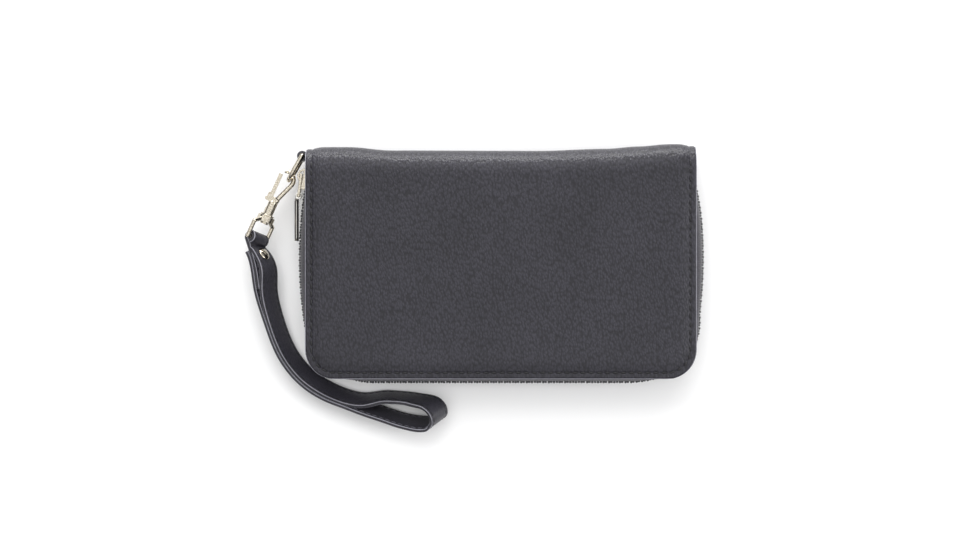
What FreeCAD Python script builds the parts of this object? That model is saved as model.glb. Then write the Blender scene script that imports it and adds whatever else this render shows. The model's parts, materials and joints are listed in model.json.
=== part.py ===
import FreeCAD, Part
import Sketcher
import math
import os

from FreeCAD import Placement, Rotation, Vector

# A zip-around wristlet wallet lying on its back cover. X runs along the spine, Y from the mouth
# to the spine, Z out of the front cover. The origin is the centre of the back cover's outer face.

doc = FreeCAD.newDocument("wristlet_wallet")
sheet = doc.addObject("Spreadsheet::Sheet", "Sizes")

SIZES = [
    # the closed wallet
    ("cover_width", 184.0),
    ("cover_depth", 109.0),
    ("closed_height", 25.0),
    ("corner_radius", 14.0),
    ("leather", 1.2),
    ("board", 0.7),
    ("board_inset", 5.0),
    ("lining", 0.5),
    ("lining_inset", 1.4),
    # card slots and slip pockets on the inside of each cover
    ("slip_pocket", 0.3),
    ("slot_leather", 0.4),
    ("slot_width", 177.0),
    ("slot_step", 9.0),
    ("slot_mouth_gap", 12.0),
    ("pocket_step", 4.0),
    ("panel_spine_gap", 18.5),
    # pleated side gussets
    ("gusset_cloth", 0.4),
    ("gusset_inset", 1.4),
    ("gusset_fold", 6.4),
    ("gusset_middle", 4.5),
    ("gusset_knee", 0.6),
    ("gusset_mouth_gap", 22.0),
    # zipped coin pocket in the middle
    ("coin_width", 160.0),
    ("coin_height", 5.6),
    ("coin_cloth", 0.6),
    ("coin_mouth_gap", 12.5),
    ("coin_tape_gap", 1.9),
    ("coin_tooth_pitch", 2.0),
    ("coin_tooth_depth", 1.8),
    ("coin_tooth_width", 0.85),
    ("coin_tooth_overlap", 0.2),
    ("coin_teeth_from_end", 4.0),
    ("coin_slider_from_end", 13.0),
    ("coin_slider_length", 7.0),
    ("coin_slider_plate", 0.8),
    ("coin_slider_gap", 0.25),
    ("coin_slider_play", 0.5),
    ("coin_post_length", 2.0),
    ("coin_post_width", 1.4),
    ("coin_bridge_radius", 1.7),
    ("coin_bridge_wire", 0.7),
    ("coin_bridge_width", 1.6),
    ("coin_pull_wire", 0.9),
    ("coin_pull_inner_width", 2.4),
    ("coin_pull_pitch", 9.6),
    # zip round three sides
    ("zip_bulge", 2.5),
    ("zip_side_radius", 206.0),
    ("zip_side_centre", 2.5),
    ("zip_corner_radius", 24.0),
    ("zip_mouth_bulge", 1.1),
    ("zip_end_gap", 8.0),
    ("tape_cloth", 0.6),
    ("tape_bend", 5.1),
    ("tape_gap", 4.0),
    ("tooth_pitch", 2.6),
    ("tooth_width", 1.1),
    ("tooth_depth", 2.4),
    ("tooth_overlap", 0.4),
    ("teeth_from_slider", 0.5),
    ("stop_from_end", 2.4),
    ("stop_length", 2.0),
    ("stop_plate", 0.7),
    ("stop_height", 5.4),
    ("stop_clearance", 0.05),
    ("stop_web_gap", 0.3),
    # slider, link and pull bar
    ("slider_length", 10.0),
    ("slider_width", 9.0),
    ("slider_plate", 1.0),
    ("slider_gap", 0.3),
    ("slider_lip", 1.0),
    ("slider_post", 2.4),
    ("slider_post_length", 3.6),
    ("slider_post_setback", 0.4),
    ("slider_from_spine", 15.0),
    ("bridge_radius", 2.4),
    ("bridge_wire", 0.9),
    ("bridge_width", 2.8),
    ("bridge_from_middle", 1.4),
    ("link_wire", 1.3),
    ("link_inner_width", 3.8),
    ("link_pitch", 9.8),
    ("link_lean", 7.0),
    ("eye_wall", 0.5),
    ("eye_play", 0.4),
    ("eye_to_bar", 0.5),
    ("pull_thickness", 1.8),
    ("pull_width", 5.0),
    ("pull_length", 20.0),
    ("pull_corner", 1.2),
    ("pull_setback", 0.1),
    ("neck_thickness", 1.4),
    ("neck_length", 2.8),
    ("pin_clearance", 0.12),
    # ring tab and D-ring
    ("ring_wire", 1.0),
    ("ring_inner_width", 10.0),
    ("ring_reach", 13.3),
    ("ring_lean", 30.0),
    ("ring_from_cover", 1.9),
    ("ring_from_apex", 3.8),
    ("tab_leather", 1.3),
    ("tab_width", 8.6),
    ("tab_tail", 9.0),
    # snap hook
    ("hook_lean", 24.2),
    ("claw_wire", 1.1),
    ("claw_radius", 4.2),
    ("claw_centre", 20.6),
    ("claw_offset", 0.6),
    ("claw_end", 125.0),
    ("claw_root", 1.0),
    ("root_swell", 0.5),
    ("shank_radius", 2.4),
    ("shank_foot", 1.6),
    ("shank_top", 8.2),
    ("shoulder_height", 3.0),
    ("flange_lip", 0.9),
    ("flange_height", 0.8),
    ("gate_pivot", 9.6),
    ("gate_width", 1.8),
    ("gate_height", 2.2),
    ("gate_offset", 2.0),
    ("gate_side_gap", 0.2),
    ("gate_slot_wall", 0.75),
    ("gate_slot_below", 4.4),
    ("gate_past_claw", 2.0),
    ("gate_pin", 0.5),
    ("gate_pin_clearance", 0.05),
    ("ear_thickness", 0.7),
    ("ear_radius", 1.3),
    ("ear_length", 2.4),
    ("thumb_width", 1.4),
    ("thumb_length", 3.4),
    ("thumb_reach", 0.9),
    ("knob_radius", 1.0),
    ("hook_seat_along", 21.0),
    ("hook_seat_aside", 2.5),
    ("collar_radius", 4.2),
    ("collar_height", 2.6),
    ("post_radius", 1.3),
    ("post_clearance", 0.08),
    ("post_head", 2.1),
    ("post_head_height", 1.0),
    ("collar_end_gap", 0.2),
    ("swivel_wire", 1.0),
    ("swivel_bar_drop", 10.4),
    ("swivel_side_gap", 0.6),
    ("swivel_shoulder_drop", 0.4),
    ("swivel_turn", 32.0),
    # wrist strap
    ("strap_width", 12.0),
    ("strap_leather", 1.0),
    ("strap_backing", 0.8),
    ("strap_gap", 0.12),
    ("strap_pinch", 0.95),
    ("tail_reach", 3.2),
    ("tail_lift", 0.9),
    ("rivet_facing", 0.3),
    ("strap_table_gap", 0.05),
    ("strap_rest_gap", 0.2),
    ("strap_step", 3.6),
    ("rivet_radius", 3.15),
    ("rivet_rim", 0.4),
    ("rivet_cap", 1.1),
    ("rivet_washer", 0.7),
    ("rivet_seat_gap", 0.2),
    ("washer_seat_gap", 0.38),
]

for row, (alias, value) in enumerate(SIZES, start=1):
    sheet.set(f"A{row}", alias)
    sheet.set(f"B{row}", str(value))
    sheet.setAlias(f"B{row}", alias)
doc.recompute()


def size(alias):
    return float(sheet.get(alias))


parts = []


def keep(item, node):
    """Gives a finished object the name of its node and puts it on the list of pieces."""
    item.Label = node
    parts.append(item)
    return item


def bind(item, **formulas):
    for prop, formula in formulas.items():
        item.setExpression(prop.replace("__", "."), formula)


def box(name, length, width, height, x, y, z):
    item = doc.addObject("Part::Box", name)
    bind(item, Length=length, Width=width, Height=height)
    bind(item, Placement__Base__x=x, Placement__Base__y=y, Placement__Base__z=z)
    return item


def cylinder(name, radius, height, base, axis=Vector(0, 0, 1), angle=None):
    item = doc.addObject("Part::Cylinder", name)
    bind(item, Radius=radius, Height=height)
    if angle:
        item.Angle = angle
    item.Placement = Placement(base, Rotation(Vector(0, 0, 1), axis))
    return item


def cut(name, whole, tool):
    item = doc.addObject("Part::Cut", name)
    item.Base = whole
    item.Tool = tool
    return item


def fuse(name, *pieces):
    item = doc.addObject("Part::MultiFuse", name)
    item.Shapes = list(pieces)
    return item


def feature(name, shape):
    item = doc.addObject("Part::Feature", name)
    item.Shape = shape
    return item


def origin_plane(body, role):
    return next(f for f in body.Origin.OriginFeatures if f.Role == role)


def new_sketch(body, name, role="XY_Plane"):
    sketch = body.newObject("Sketcher::SketchObject", name)
    sketch.AttachmentSupport = (origin_plane(body, role), [""])
    sketch.MapMode = "FlatFace"
    return sketch


def pad(body, sketch, length, midplane=False):
    item = body.newObject("PartDesign::Pad", sketch.Name + "_pad")
    item.Profile = sketch
    item.setExpression("Length", length)
    item.Midplane = midplane
    return item


# ---- places that several pieces share ----

# features that are joined into one solid run into each other by this much

sunk = 0.2
half_width = size("cover_width") / 2
half_depth = size("cover_depth") / 2
middle = size("closed_height") / 2
spine_centre = half_depth - middle
shell = size("leather") + size("board") + size("lining")
MOUTH = "-Sizes.cover_depth / 2"
SPINE = "(Sizes.cover_depth / 2 - Sizes.closed_height / 2)"
SHELL = "(Sizes.leather + Sizes.board + Sizes.lining)"
PANEL_END = "(Sizes.cover_depth / 2 - Sizes.panel_spine_gap)"


def plate(node, thick, low, inset, spine_edge):
    """A flat sheet of the cover's outline, with its two mouth corners rounded."""
    drawn_in = size(inset.removeprefix("Sizes.")) if inset != "0" else 0.0
    body = doc.addObject("PartDesign::Body", node)
    sketch = new_sketch(body, node + "_outline")
    a, d = half_width - drawn_in, half_depth - drawn_in
    r, b = size("corner_radius") - drawn_in, spine_centre
    side = Part.LineSegment
    sketch.addGeometry(side(Vector(r - a, -d, 0), Vector(a - r, -d, 0)))
    corner = Part.Circle(Vector(a - r, r - d, 0), Vector(0, 0, 1), r)
    sketch.addGeometry(Part.ArcOfCircle(corner, -math.pi / 2, 0))
    sketch.addGeometry(side(Vector(a, r - d, 0), Vector(a, b, 0)))
    sketch.addGeometry(side(Vector(a, b, 0), Vector(-a, b, 0)))
    sketch.addGeometry(side(Vector(-a, b, 0), Vector(-a, r - d, 0)))
    corner = Part.Circle(Vector(r - a, r - d, 0), Vector(0, 0, 1), r)
    sketch.addGeometry(Part.ArcOfCircle(corner, math.pi, 1.5 * math.pi))
    for first, second in ((0, 1), (1, 2), (4, 5), (5, 0)):
        sketch.addConstraint(Sketcher.Constraint("Tangent", first, 2, second, 1))
    for first, second in ((2, 3), (3, 4)):
        sketch.addConstraint(Sketcher.Constraint("Coincident", first, 2, second, 1))
    sketch.addConstraint(Sketcher.Constraint("Horizontal", 3))
    sketch.addConstraint(Sketcher.Constraint("Vertical", 2))
    sketch.addConstraint(Sketcher.Constraint("Vertical", 4))
    sketch.addConstraint(Sketcher.Constraint("Equal", 1, 5))
    driving = [
        (Sketcher.Constraint("DistanceX", -1, 1, 2, 1, a), "right", f"Sizes.cover_width / 2 - {inset}"),
        (Sketcher.Constraint("DistanceX", 4, 1, -1, 1, a), "left", f"Sizes.cover_width / 2 - {inset}"),
        (Sketcher.Constraint("DistanceY", 0, 1, -1, 1, d), "mouth", f"Sizes.cover_depth / 2 - {inset}"),
        (Sketcher.Constraint("DistanceY", -1, 1, 3, 1, b), "spine", spine_edge),
        (Sketcher.Constraint("Radius", 1, r), "round", f"Sizes.corner_radius - {inset}"),
    ]
    for constraint, name, formula in driving:
        index = sketch.addConstraint(constraint)
        sketch.renameConstraint(index, name)
        sketch.setExpression("Constraints." + name, formula)
    pad(body, sketch, thick)
    bind(body, Placement__Base__z=low)
    return keep(body, node)


def mirrored_height(low, thick):
    """The height of a front piece that lies as far below the front as its twin lies above the back."""
    return f"Sizes.closed_height - ({low}) - {thick}"


def covers():
    """Leather, stiffening board, lining and slip pocket of the two halves."""
    layers = [
        ("cover", "Sizes.leather", "0", "0", SPINE),
        ("stiffener", "Sizes.board", "Sizes.leather", "Sizes.board_inset", SPINE),
        ("lining", "Sizes.lining", "Sizes.leather + Sizes.board", "Sizes.lining_inset", SPINE),
    ]
    for layer, thick, low, inset, edge in layers:
        plate("back_" + layer, thick, low, inset, edge)
        plate("front_" + layer, thick, mirrored_height(low, thick), inset, edge)


def spine():
    """The cover leather's bend round the spine, as two quarter tubes that meet at its apex."""
    for node, turn in (("spine_back", 90), ("spine_front", 180)):
        outer = cylinder(node + "_outer", "Sizes.closed_height / 2", "Sizes.cover_width", Vector())
        inner = cylinder(node + "_inner", "Sizes.closed_height / 2 - Sizes.leather",
                         "Sizes.cover_width", Vector())
        outer.Angle = 90
        inner.Angle = 90
        quarter = cut(node, outer, inner)
        tube = Placement(Vector(-half_width, spine_centre, middle), Rotation(Vector(0, 1, 0), 90))
        quarter.Placement = tube * Placement(Vector(), Rotation(Vector(0, 0, 1), turn - 90))
        keep(quarter, node)


def card_panels():
    """A slip pocket and four stepped card slots on the inside of each cover."""
    pocket_start = f"{MOUTH} + Sizes.slot_mouth_gap - Sizes.pocket_step"
    pocket_depth = f"{PANEL_END} - ({pocket_start})"
    for half in ("back", "front"):
        node = half + "_slip_pocket"
        low = SHELL
        z = low if half == "back" else mirrored_height(low, "Sizes.slip_pocket")
        keep(box(node, "Sizes.slot_width", pocket_depth, "Sizes.slip_pocket",
                 "-Sizes.slot_width / 2", pocket_start, z), node)
        for step in range(4):
            node = f"{half}_card_slot_{step + 1}"
            low = f"{SHELL} + Sizes.slip_pocket + {step} * Sizes.slot_leather"
            z = low if half == "back" else mirrored_height(low, "Sizes.slot_leather")
            start = f"{MOUTH} + Sizes.slot_mouth_gap + {step} * Sizes.slot_step"
            keep(box(node, "Sizes.slot_width", f"{PANEL_END} - ({start})", "Sizes.slot_leather",
                     "-Sizes.slot_width / 2", start, z), node)


def gussets():
    """A pleated cloth side on each end, folded in twice between the covers."""
    low, high = shell, size("closed_height") - shell
    quarter = (high - low) / 4
    outside, cloth = half_width - size("gusset_inset"), size("gusset_cloth")
    inside = outside - size("gusset_fold")
    knee = quarter * size("gusset_knee")
    zigzag = [
        (outside, low),
        (outside, low + knee),
        (inside, low + quarter),
        (outside - size("gusset_middle"), middle),
        (inside, high - quarter),
        (outside, high - knee),
        (outside, high),
    ]
    start = -half_depth + size("gusset_mouth_gap")
    length = spine_centre - start
    for node, side in (("gusset_left", -1), ("gusset_right", 1)):
        near = [Vector(side * x, start, z) for x, z in zigzag]
        far = [Vector(side * (x - cloth), start, z) for x, z in reversed(zigzag)]
        face = Part.Face(Part.makePolygon(near + far + [near[0]]))
        keep(feature(node, face.extrude(Vector(0, length, 0))), node)


# ---- zipped coin pocket ----

COIN_LOW = "(Sizes.closed_height / 2 - Sizes.coin_height / 2)"
COIN_MOUTH = "(-Sizes.cover_depth / 2 + Sizes.coin_mouth_gap)"
coin_mouth = -half_depth + size("coin_mouth_gap")


def coin_pocket():
    depth = f"{PANEL_END} - {COIN_MOUTH}"
    wall = "Sizes.coin_cloth"
    side = "-Sizes.coin_width / 2"
    for node, low in (
        ("coin_pocket_back", COIN_LOW),
        ("coin_pocket_front", f"{COIN_LOW} + Sizes.coin_height - {wall}"),
    ):
        keep(box(node, "Sizes.coin_width", depth, wall, side, COIN_MOUTH, low), node)
    inner_height = f"Sizes.coin_height - 2 * {wall}"
    outer = box("coin_band_outer", "Sizes.coin_width", depth, inner_height,
                side, COIN_MOUTH, f"{COIN_LOW} + {wall}")
    inner = box("coin_band_inner", f"Sizes.coin_width - 2 * {wall}", f"{depth} - {wall}", inner_height,
                f"{side} + {wall}", COIN_MOUTH, f"{COIN_LOW} + {wall}")
    keep(cut("coin_pocket_edge", outer, inner), "coin_pocket_edge")


def coin_zip():
    """Tape, teeth, slider and ring pull that close the coin pocket's mouth."""
    cloth, height = size("coin_cloth"), size("coin_height")
    low = middle - height / 2
    half = size("coin_width") / 2
    open_half = size("coin_tape_gap") / 2
    strip = height / 2 - open_half
    tapes = [
        Part.makeBox(2 * half, cloth, strip, Vector(-half, coin_mouth - cloth, low)),
        Part.makeBox(2 * half, cloth, strip, Vector(-half, coin_mouth - cloth, low + height - strip)),
    ]
    keep(feature("coin_zip_tape", Part.makeCompound(tapes)), "coin_zip_tape")
    # two rows of teeth stand between the tapes, half a pitch apart
    pitch, deep = size("coin_tooth_pitch"), size("coin_tooth_depth")
    over = size("coin_tooth_overlap")
    chain = coin_mouth - cloth / 2
    first = -half + size("coin_teeth_from_end")
    last = half - size("coin_slider_from_end")
    teeth = []
    for row, bottom in enumerate((middle - open_half, middle - over)):
        for index in range(int((last - first) / pitch)):
            corner = Vector(first + (index + row / 2) * pitch, chain - deep / 2, bottom)
            teeth.append(Part.makeBox(size("coin_tooth_width"), deep, open_half + over, corner))
    keep(feature("coin_zip_teeth", Part.makeCompound(teeth)), "coin_zip_teeth")
    return coin_slider(Vector(last, chain, middle))


def coin_slider(centre):
    """The coin zip's slider, and the ring pull on its bridge; returns the pull's pivot."""
    thick, length = size("coin_slider_plate"), size("coin_slider_length")
    width = size("coin_height") - 2 * size("coin_cloth") - size("coin_slider_play")
    gap = size("coin_tooth_depth") / 2 + size("coin_slider_gap")
    shapes = []
    for near in (-gap - thick, gap):
        corner = centre + Vector(-length / 2, near, -width / 2)
        shapes.append(Part.makeBox(length, thick, width, corner))
    post, post_width = size("coin_post_length"), size("coin_post_width")
    corner = centre + Vector(length / 2 - post - sunk, -gap, -post_width / 2)
    shapes.append(Part.makeBox(post, 2 * gap, post_width, corner))
    wire = size("coin_bridge_wire")
    face = centre - Vector(0, gap + thick, 0)
    arch = half_ring(size("coin_bridge_radius"), wire, size("coin_bridge_width"))
    arch.Placement = Placement(face + Vector(0, sunk, 0), Rotation(Vector(0, 0, 1), 180))
    shapes.append(arch)
    keep(feature("coin_zip_slider", fused(shapes)), "coin_zip_slider")
    pivot = face - Vector(0, wire, 0)
    ring = wire_frame(size("coin_pull_wire"), size("coin_pull_inner_width"), size("coin_pull_pitch"))
    ring.Placement = Placement(pivot, Rotation(Vector(0, 0, 1), -90))
    keep(feature("coin_zip_pull", ring), "coin_zip_pull")
    return pivot


def fused(shapes):
    whole = shapes[0].fuse(shapes[1:]) if len(shapes) > 1 else shapes[0]
    return whole.removeSplitter()


def half_ring(inner, wire, width):
    """A flat half ring in the X-Y plane that opens towards -Y, `width` thick along Z."""
    low = Vector(0, 0, -width / 2)
    outer = Part.makeCylinder(inner + wire, width, low, Vector(0, 0, 1), 180)
    return outer.cut(Part.makeCylinder(inner, width, low, Vector(0, 0, 1), 360))


def wire_frame(bar, inner_width, pitch):
    """A rectangular ring of square wire in the Y-Z plane, its first bar on Z and its other at -Y."""
    outer = Part.makeBox(bar, pitch + bar, inner_width + 2 * bar,
                         Vector(-bar / 2, -pitch - bar / 2, -inner_width / 2 - bar))
    inner = Part.makeBox(bar, pitch - bar, inner_width,
                         Vector(-bar / 2, -pitch + bar / 2, -inner_width / 2))
    return outer.cut(inner)


# ---- the zip round three sides ----

zip_side_x = half_width + size("zip_bulge")
zip_centre = Vector(-zip_side_x + size("zip_side_radius"), size("zip_side_centre"), 0)
zip_mouth = -half_depth - size("zip_mouth_bulge")
zip_top = half_depth - size("zip_end_gap")


def chain_wire(offset, z):
    """The chain's U-shaped line from the left end, round the mouth, to the right end."""
    big = size("zip_side_radius") + offset
    small = size("zip_corner_radius") + offset
    corner_y = zip_mouth + size("zip_corner_radius")
    reach = size("zip_side_radius") - size("zip_corner_radius")
    drop = zip_centre.y - corner_y
    corner_x = zip_centre.x - math.sqrt(reach**2 - drop**2)
    joint = math.pi + math.asin(drop / reach)
    bottom = 1.5 * math.pi
    start = math.pi - math.asin((zip_top - zip_centre.y) / size("zip_side_radius"))

    def side_point(angle):
        return Vector(zip_centre.x + big * math.cos(angle), zip_centre.y + big * math.sin(angle), z)

    def corner_point(angle):
        return Vector(corner_x + small * math.cos(angle), corner_y + small * math.sin(angle), z)

    left = [
        Part.Arc(side_point(start), side_point((start + joint) / 2), side_point(joint)).toShape(),
        Part.Arc(corner_point(joint), corner_point((joint + bottom) / 2), corner_point(bottom)).toShape(),
    ]
    flip = FreeCAD.Matrix()
    flip.A11 = -1
    right = [edge.transformGeometry(flip).Edges[0] for edge in reversed(left)]
    line = Part.makeLine(corner_point(bottom), Vector(-corner_x, corner_y - small, z))
    return left, line, right


def seam_wire(offset, z):
    """The U-shaped line along the covers' edges that the tape is sewn to, with as many stretches."""
    a = half_width - size("gusset_inset") / 2 + offset
    d = half_depth - size("gusset_inset") / 2 + offset
    r = size("corner_radius") + offset
    turn = math.pi / 4
    low = Vector(-a, r - d, z)
    middle_point = Vector(r - a - r * math.cos(turn), r - d - r * math.sin(turn), z)
    left = [
        Part.makeLine(Vector(-a, zip_top, z), low),
        Part.Arc(low, middle_point, Vector(r - a, -d, z)).toShape(),
    ]
    flip = FreeCAD.Matrix()
    flip.A11 = -1
    right = [edge.transformGeometry(flip).Edges[0] for edge in reversed(left)]
    line = Part.makeLine(Vector(r - a, -d, z), Vector(a - r, -d, z))
    return left, line, right


def points_along(edge_set, share):
    """Points along the line's five stretches, the same number on each, from left end to right."""
    left, line, right = edge_set
    stretches = left + [line] + right
    found = []
    for number, edge in enumerate(stretches):
        count = share[number]
        spots = edge.discretize(Number=count + 1)
        if spots[0].x > spots[-1].x:
            spots.reverse()
        if number == 0 and spots[0].y < spots[-1].y:
            spots.reverse()
        if number == 4 and spots[0].y > spots[-1].y:
            spots.reverse()
        found.extend(spots if not found else spots[1:])
    return found


def zip_tapes():
    """Each half's tape rises from its cover's edge, bends out and then stands beside the chain."""
    cloth = size("tape_cloth")
    share = (8, 10, 2, 10, 8)
    gap = size("tape_gap") / 2
    for half in ("back", "front"):
        heights = (shell, shell + size("tape_bend"), middle - gap)
        sections = []
        for maker, height in zip((seam_wire, chain_wire, chain_wire), heights):
            z = height if half == "back" else size("closed_height") - height
            outer = points_along(maker(cloth / 2, z), share)
            inner = points_along(maker(-cloth / 2, z), share)
            loop = outer + inner[::-1]
            sections.append(Part.makePolygon(loop + [loop[0]]))
        node = "zip_tape_" + half
        keep(feature(node, Part.makeLoft(sections, True, True)), node)


def chain_spots(count_from, pitch):
    """Evenly spaced places and directions along the chain, starting a distance from its left end."""
    left, line, right = chain_wire(0, middle)
    dense = points_along((left, line, right), (400, 400, 400, 400, 400))
    spots = []
    wanted = count_from
    travelled = 0.0
    for start, end in zip(dense, dense[1:]):
        step = (end - start).Length
        while wanted <= travelled + step:
            along = (end - start).normalize()
            spots.append((start + along * (wanted - travelled), along))
            wanted += pitch
        travelled += step
    return spots


slider_y = half_depth - size("slider_from_spine")
slider_angle = math.degrees(math.asin((slider_y - zip_centre.y) / size("zip_side_radius")))


def zip_teeth():
    """Two rows of moulded teeth that lock half a pitch apart, from the slider's wedge on."""
    start = zip_top - slider_y + size("teeth_from_slider")
    pitch = size("tooth_pitch")
    wide, deep = size("tooth_width"), size("tooth_depth")
    reach, over = size("tape_gap") / 2, size("tooth_overlap")
    for half, shift, low in (("back", 0.0, middle - reach), ("front", 0.5, middle - over)):
        teeth = []
        for spot, along in chain_spots(start + shift * pitch, pitch):
            turn = math.degrees(math.atan2(along.y, along.x))
            tooth = Part.makeBox(wide, deep, reach + over, Vector(-wide / 2, -deep / 2, 0))
            tooth.Placement = Placement(Vector(spot.x, spot.y, low), Rotation(Vector(0, 0, 1), turn))
            teeth.append(tooth)
        node = "zip_teeth_" + half
        # the end stop takes the place of the last two teeth
        keep(feature(node, Part.makeCompound(teeth[:-2])), node)


def zip_stop():
    """A metal stop at the chain's right end: two plates over the tapes and a web between them."""
    spot, along = chain_spots(chain_length() - size("stop_from_end"), chain_length())[0]
    turn = math.degrees(math.atan2(along.y, along.x))
    near = size("tape_cloth") / 2 + size("stop_clearance")
    web = size("tape_gap") / 2 - size("stop_web_gap")
    length, plate_thick, height = size("stop_length"), size("stop_plate"), size("stop_height")
    web_depth = 2 * near + sunk
    shapes = [Part.makeBox(length, web_depth, 2 * web, Vector(0, -web_depth / 2, -web))]
    for low in (-near - plate_thick, near):
        shapes.append(Part.makeBox(length, plate_thick, height, Vector(0, low, -height / 2)))
    stop = fused(shapes)
    stop.Placement = Placement(Vector(spot.x, spot.y, middle), Rotation(Vector(0, 0, 1), turn))
    keep(feature("zip_stop", stop), "zip_stop")


def chain_length():
    left, line, right = chain_wire(0, middle)
    return sum(edge.Length for edge in left + [line] + right)


on_side = Placement(zip_centre, Rotation(Vector(0, 0, 1), -slider_angle))


def from_side(x, y, z):
    """A point given beside the chain's leftmost spot (x outwards), carried round to the slider."""
    return on_side.multVec(Vector(-size("zip_side_radius") - x, y, z))


def zip_slider():
    """Two plates with lips and a wedge between them, and the bridge that the pull hangs on."""
    length, width = size("slider_length"), size("slider_width")
    thick, lip = size("slider_plate"), size("slider_lip")
    gap = size("tooth_depth") / 2 + size("slider_gap")
    slot = size("tape_cloth") / 2 + size("slider_gap")
    shapes = []
    for side in (-1, 1):
        near = gap if side > 0 else -gap - thick
        shapes.append(Part.makeBox(thick, length, width, Vector(near, -length / 2, -width / 2)))
        for low in (-width / 2, width / 2 - lip):
            edge = slot if side > 0 else -gap
            shapes.append(Part.makeBox(gap - slot, length, lip, Vector(edge, -length / 2, low)))
    post = size("slider_post")
    post_length = size("slider_post_length")
    post_low = length / 2 - post_length - size("slider_post_setback")
    shapes.append(Part.makeBox(2 * gap, post_length, post, Vector(-gap, post_low, -post / 2)))
    bridge = half_ring(size("bridge_radius"), size("bridge_wire"), size("bridge_width"))
    bridge_foot = Vector(gap + thick - sunk, size("bridge_from_middle"), 0)
    bridge.Placement = Placement(bridge_foot, Rotation(Vector(0, 0, 1), -90))
    shapes.append(bridge)
    slider = fused(shapes)
    flip = Placement(Vector(-size("zip_side_radius"), 0, middle), Rotation(Vector(0, 1, 0), 180))
    slider.Placement = on_side * flip
    keep(feature("zip_slider", slider), "zip_slider")


link_pivot = from_side(
    size("tooth_depth") / 2 + size("slider_gap") + size("slider_plate") + size("bridge_radius") / 2,
    size("bridge_from_middle") + sunk,
    middle,
)
link_turn = Rotation(Vector(0, 0, 1), -size("link_lean"))
pull_pivot = link_pivot + link_turn.multVec(Vector(0, -size("link_pitch"), 0))


def pull():
    """The wire link that hangs from the bridge, and the flat pull bar that hangs from the link."""
    link = wire_frame(size("link_wire"), size("link_inner_width"), size("link_pitch"))
    link.Placement = Placement(link_pivot, link_turn)
    keep(feature("zip_pull_link", link), "zip_pull_link")
    hole = size("link_wire") / math.sqrt(2) + size("pin_clearance")
    thick, width = size("pull_thickness"), size("pull_width")
    eye_width = size("link_inner_width") - size("eye_play")
    eye = Part.makeCylinder(hole + size("eye_wall"), eye_width, Vector(0, 0, -eye_width / 2))
    bar_top = -hole - size("eye_to_bar")
    bar_side = -thick - size("pull_setback")
    bar = Part.makeBox(thick, size("pull_length"), width,
                       Vector(bar_side, bar_top - size("pull_length"), -width / 2))
    corners = [edge for edge in bar.Edges if edge.BoundBox.XLength > thick / 2]
    bar = bar.makeFillet(size("pull_corner"), corners)
    neck_low = bar_top - size("pull_corner")
    neck = Part.makeBox(size("neck_thickness"), size("neck_length"), eye_width,
                        Vector(bar_side + sunk, neck_low, -eye_width / 2))
    whole = fused([eye, neck, bar])
    whole = whole.cut(Part.makeCylinder(hole, eye_width, Vector(0, 0, -eye_width / 2)))
    whole.Placement = Placement(pull_pivot, Rotation())
    keep(feature("zip_pull_bar", whole), "zip_pull_bar")


# ---- ring tab, D-ring, snap hook and swivel ----

tab_spot = Vector(-half_width - size("ring_from_cover"), half_depth - size("ring_from_apex"), middle)
ring_turn = Rotation(Vector(0, 0, 1), -size("ring_lean"))
ring_end = tab_spot + ring_turn.multVec(Vector(0, -size("ring_reach"), 0))
hook_turn = Rotation(Vector(0, 0, 1), -size("hook_lean"))
hook_base = ring_end - hook_turn.multVec(Vector(size("hook_seat_aside"), size("hook_seat_along"), 0))
hook_place = Placement(hook_base, hook_turn)


def ring_tab():
    """A leather strip folded round the ring's straight side, its tail sewn inside the spine."""
    pin_gap = size("pin_clearance")
    hole = size("ring_wire") + pin_gap
    outer = hole + size("tab_leather")
    width = size("tab_width")
    low = Vector(0, 0, -width / 2)
    loop = Part.makeCylinder(outer, width, low)
    tail = Part.makeBox(size("tab_tail") + hole - pin_gap, 2 * size("tab_leather"), width,
                        Vector(hole - pin_gap, -size("tab_leather") - pin_gap, -width / 2))
    tab = fused([loop, tail]).cut(Part.makeCylinder(hole, width, low))
    tab.Placement = Placement(tab_spot, Rotation())
    keep(feature("ring_tab", tab), "ring_tab")


def d_ring():
    """A wire D: a straight side in the tab, two short legs and a half circle."""
    half = size("ring_inner_width") / 2 + size("ring_wire")
    reach = size("ring_reach")
    leg = "Sizes.ring_reach - Sizes.ring_inner_width / 2 - Sizes.ring_wire"
    pieces = [
        cylinder("ring_side", "Sizes.ring_wire", "Sizes.ring_inner_width + 2 * Sizes.ring_wire",
                 Vector(0, 0, -half)),
        cylinder("ring_leg_low", "Sizes.ring_wire", leg, Vector(0, 0, -half), Vector(0, -1, 0)),
        cylinder("ring_leg_high", "Sizes.ring_wire", leg, Vector(0, 0, half), Vector(0, -1, 0)),
    ]
    for name, z in (("ring_corner_low", -half), ("ring_corner_high", half)):
        ball = doc.addObject("Part::Sphere", name)
        bind(ball, Radius="Sizes.ring_wire")
        ball.Placement.Base = Vector(0, 0, z)
        pieces.append(ball)
    bend = doc.addObject("Part::Torus", "ring_bend")
    bind(bend, Radius1="Sizes.ring_inner_width / 2 + Sizes.ring_wire", Radius2="Sizes.ring_wire")
    bend.Angle3 = 180
    across = Rotation(Vector(0, 0, 1), Vector(0, -1, 0), Vector(1, 0, 0), "ZXY")
    bend.Placement = Placement(Vector(0, half - reach, 0), across)
    pieces.append(bend)
    ring = fuse("d_ring", *pieces)
    ring.Placement = Placement(tab_spot, ring_turn)
    keep(ring, "d_ring")


gate_x = -size("gate_offset")
gate_slot = size("gate_height") + 2 * size("gate_side_gap")
ear_reach = gate_slot / 2 + size("ear_thickness")
hook_axis = Vector(0, 1, 0)


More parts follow.
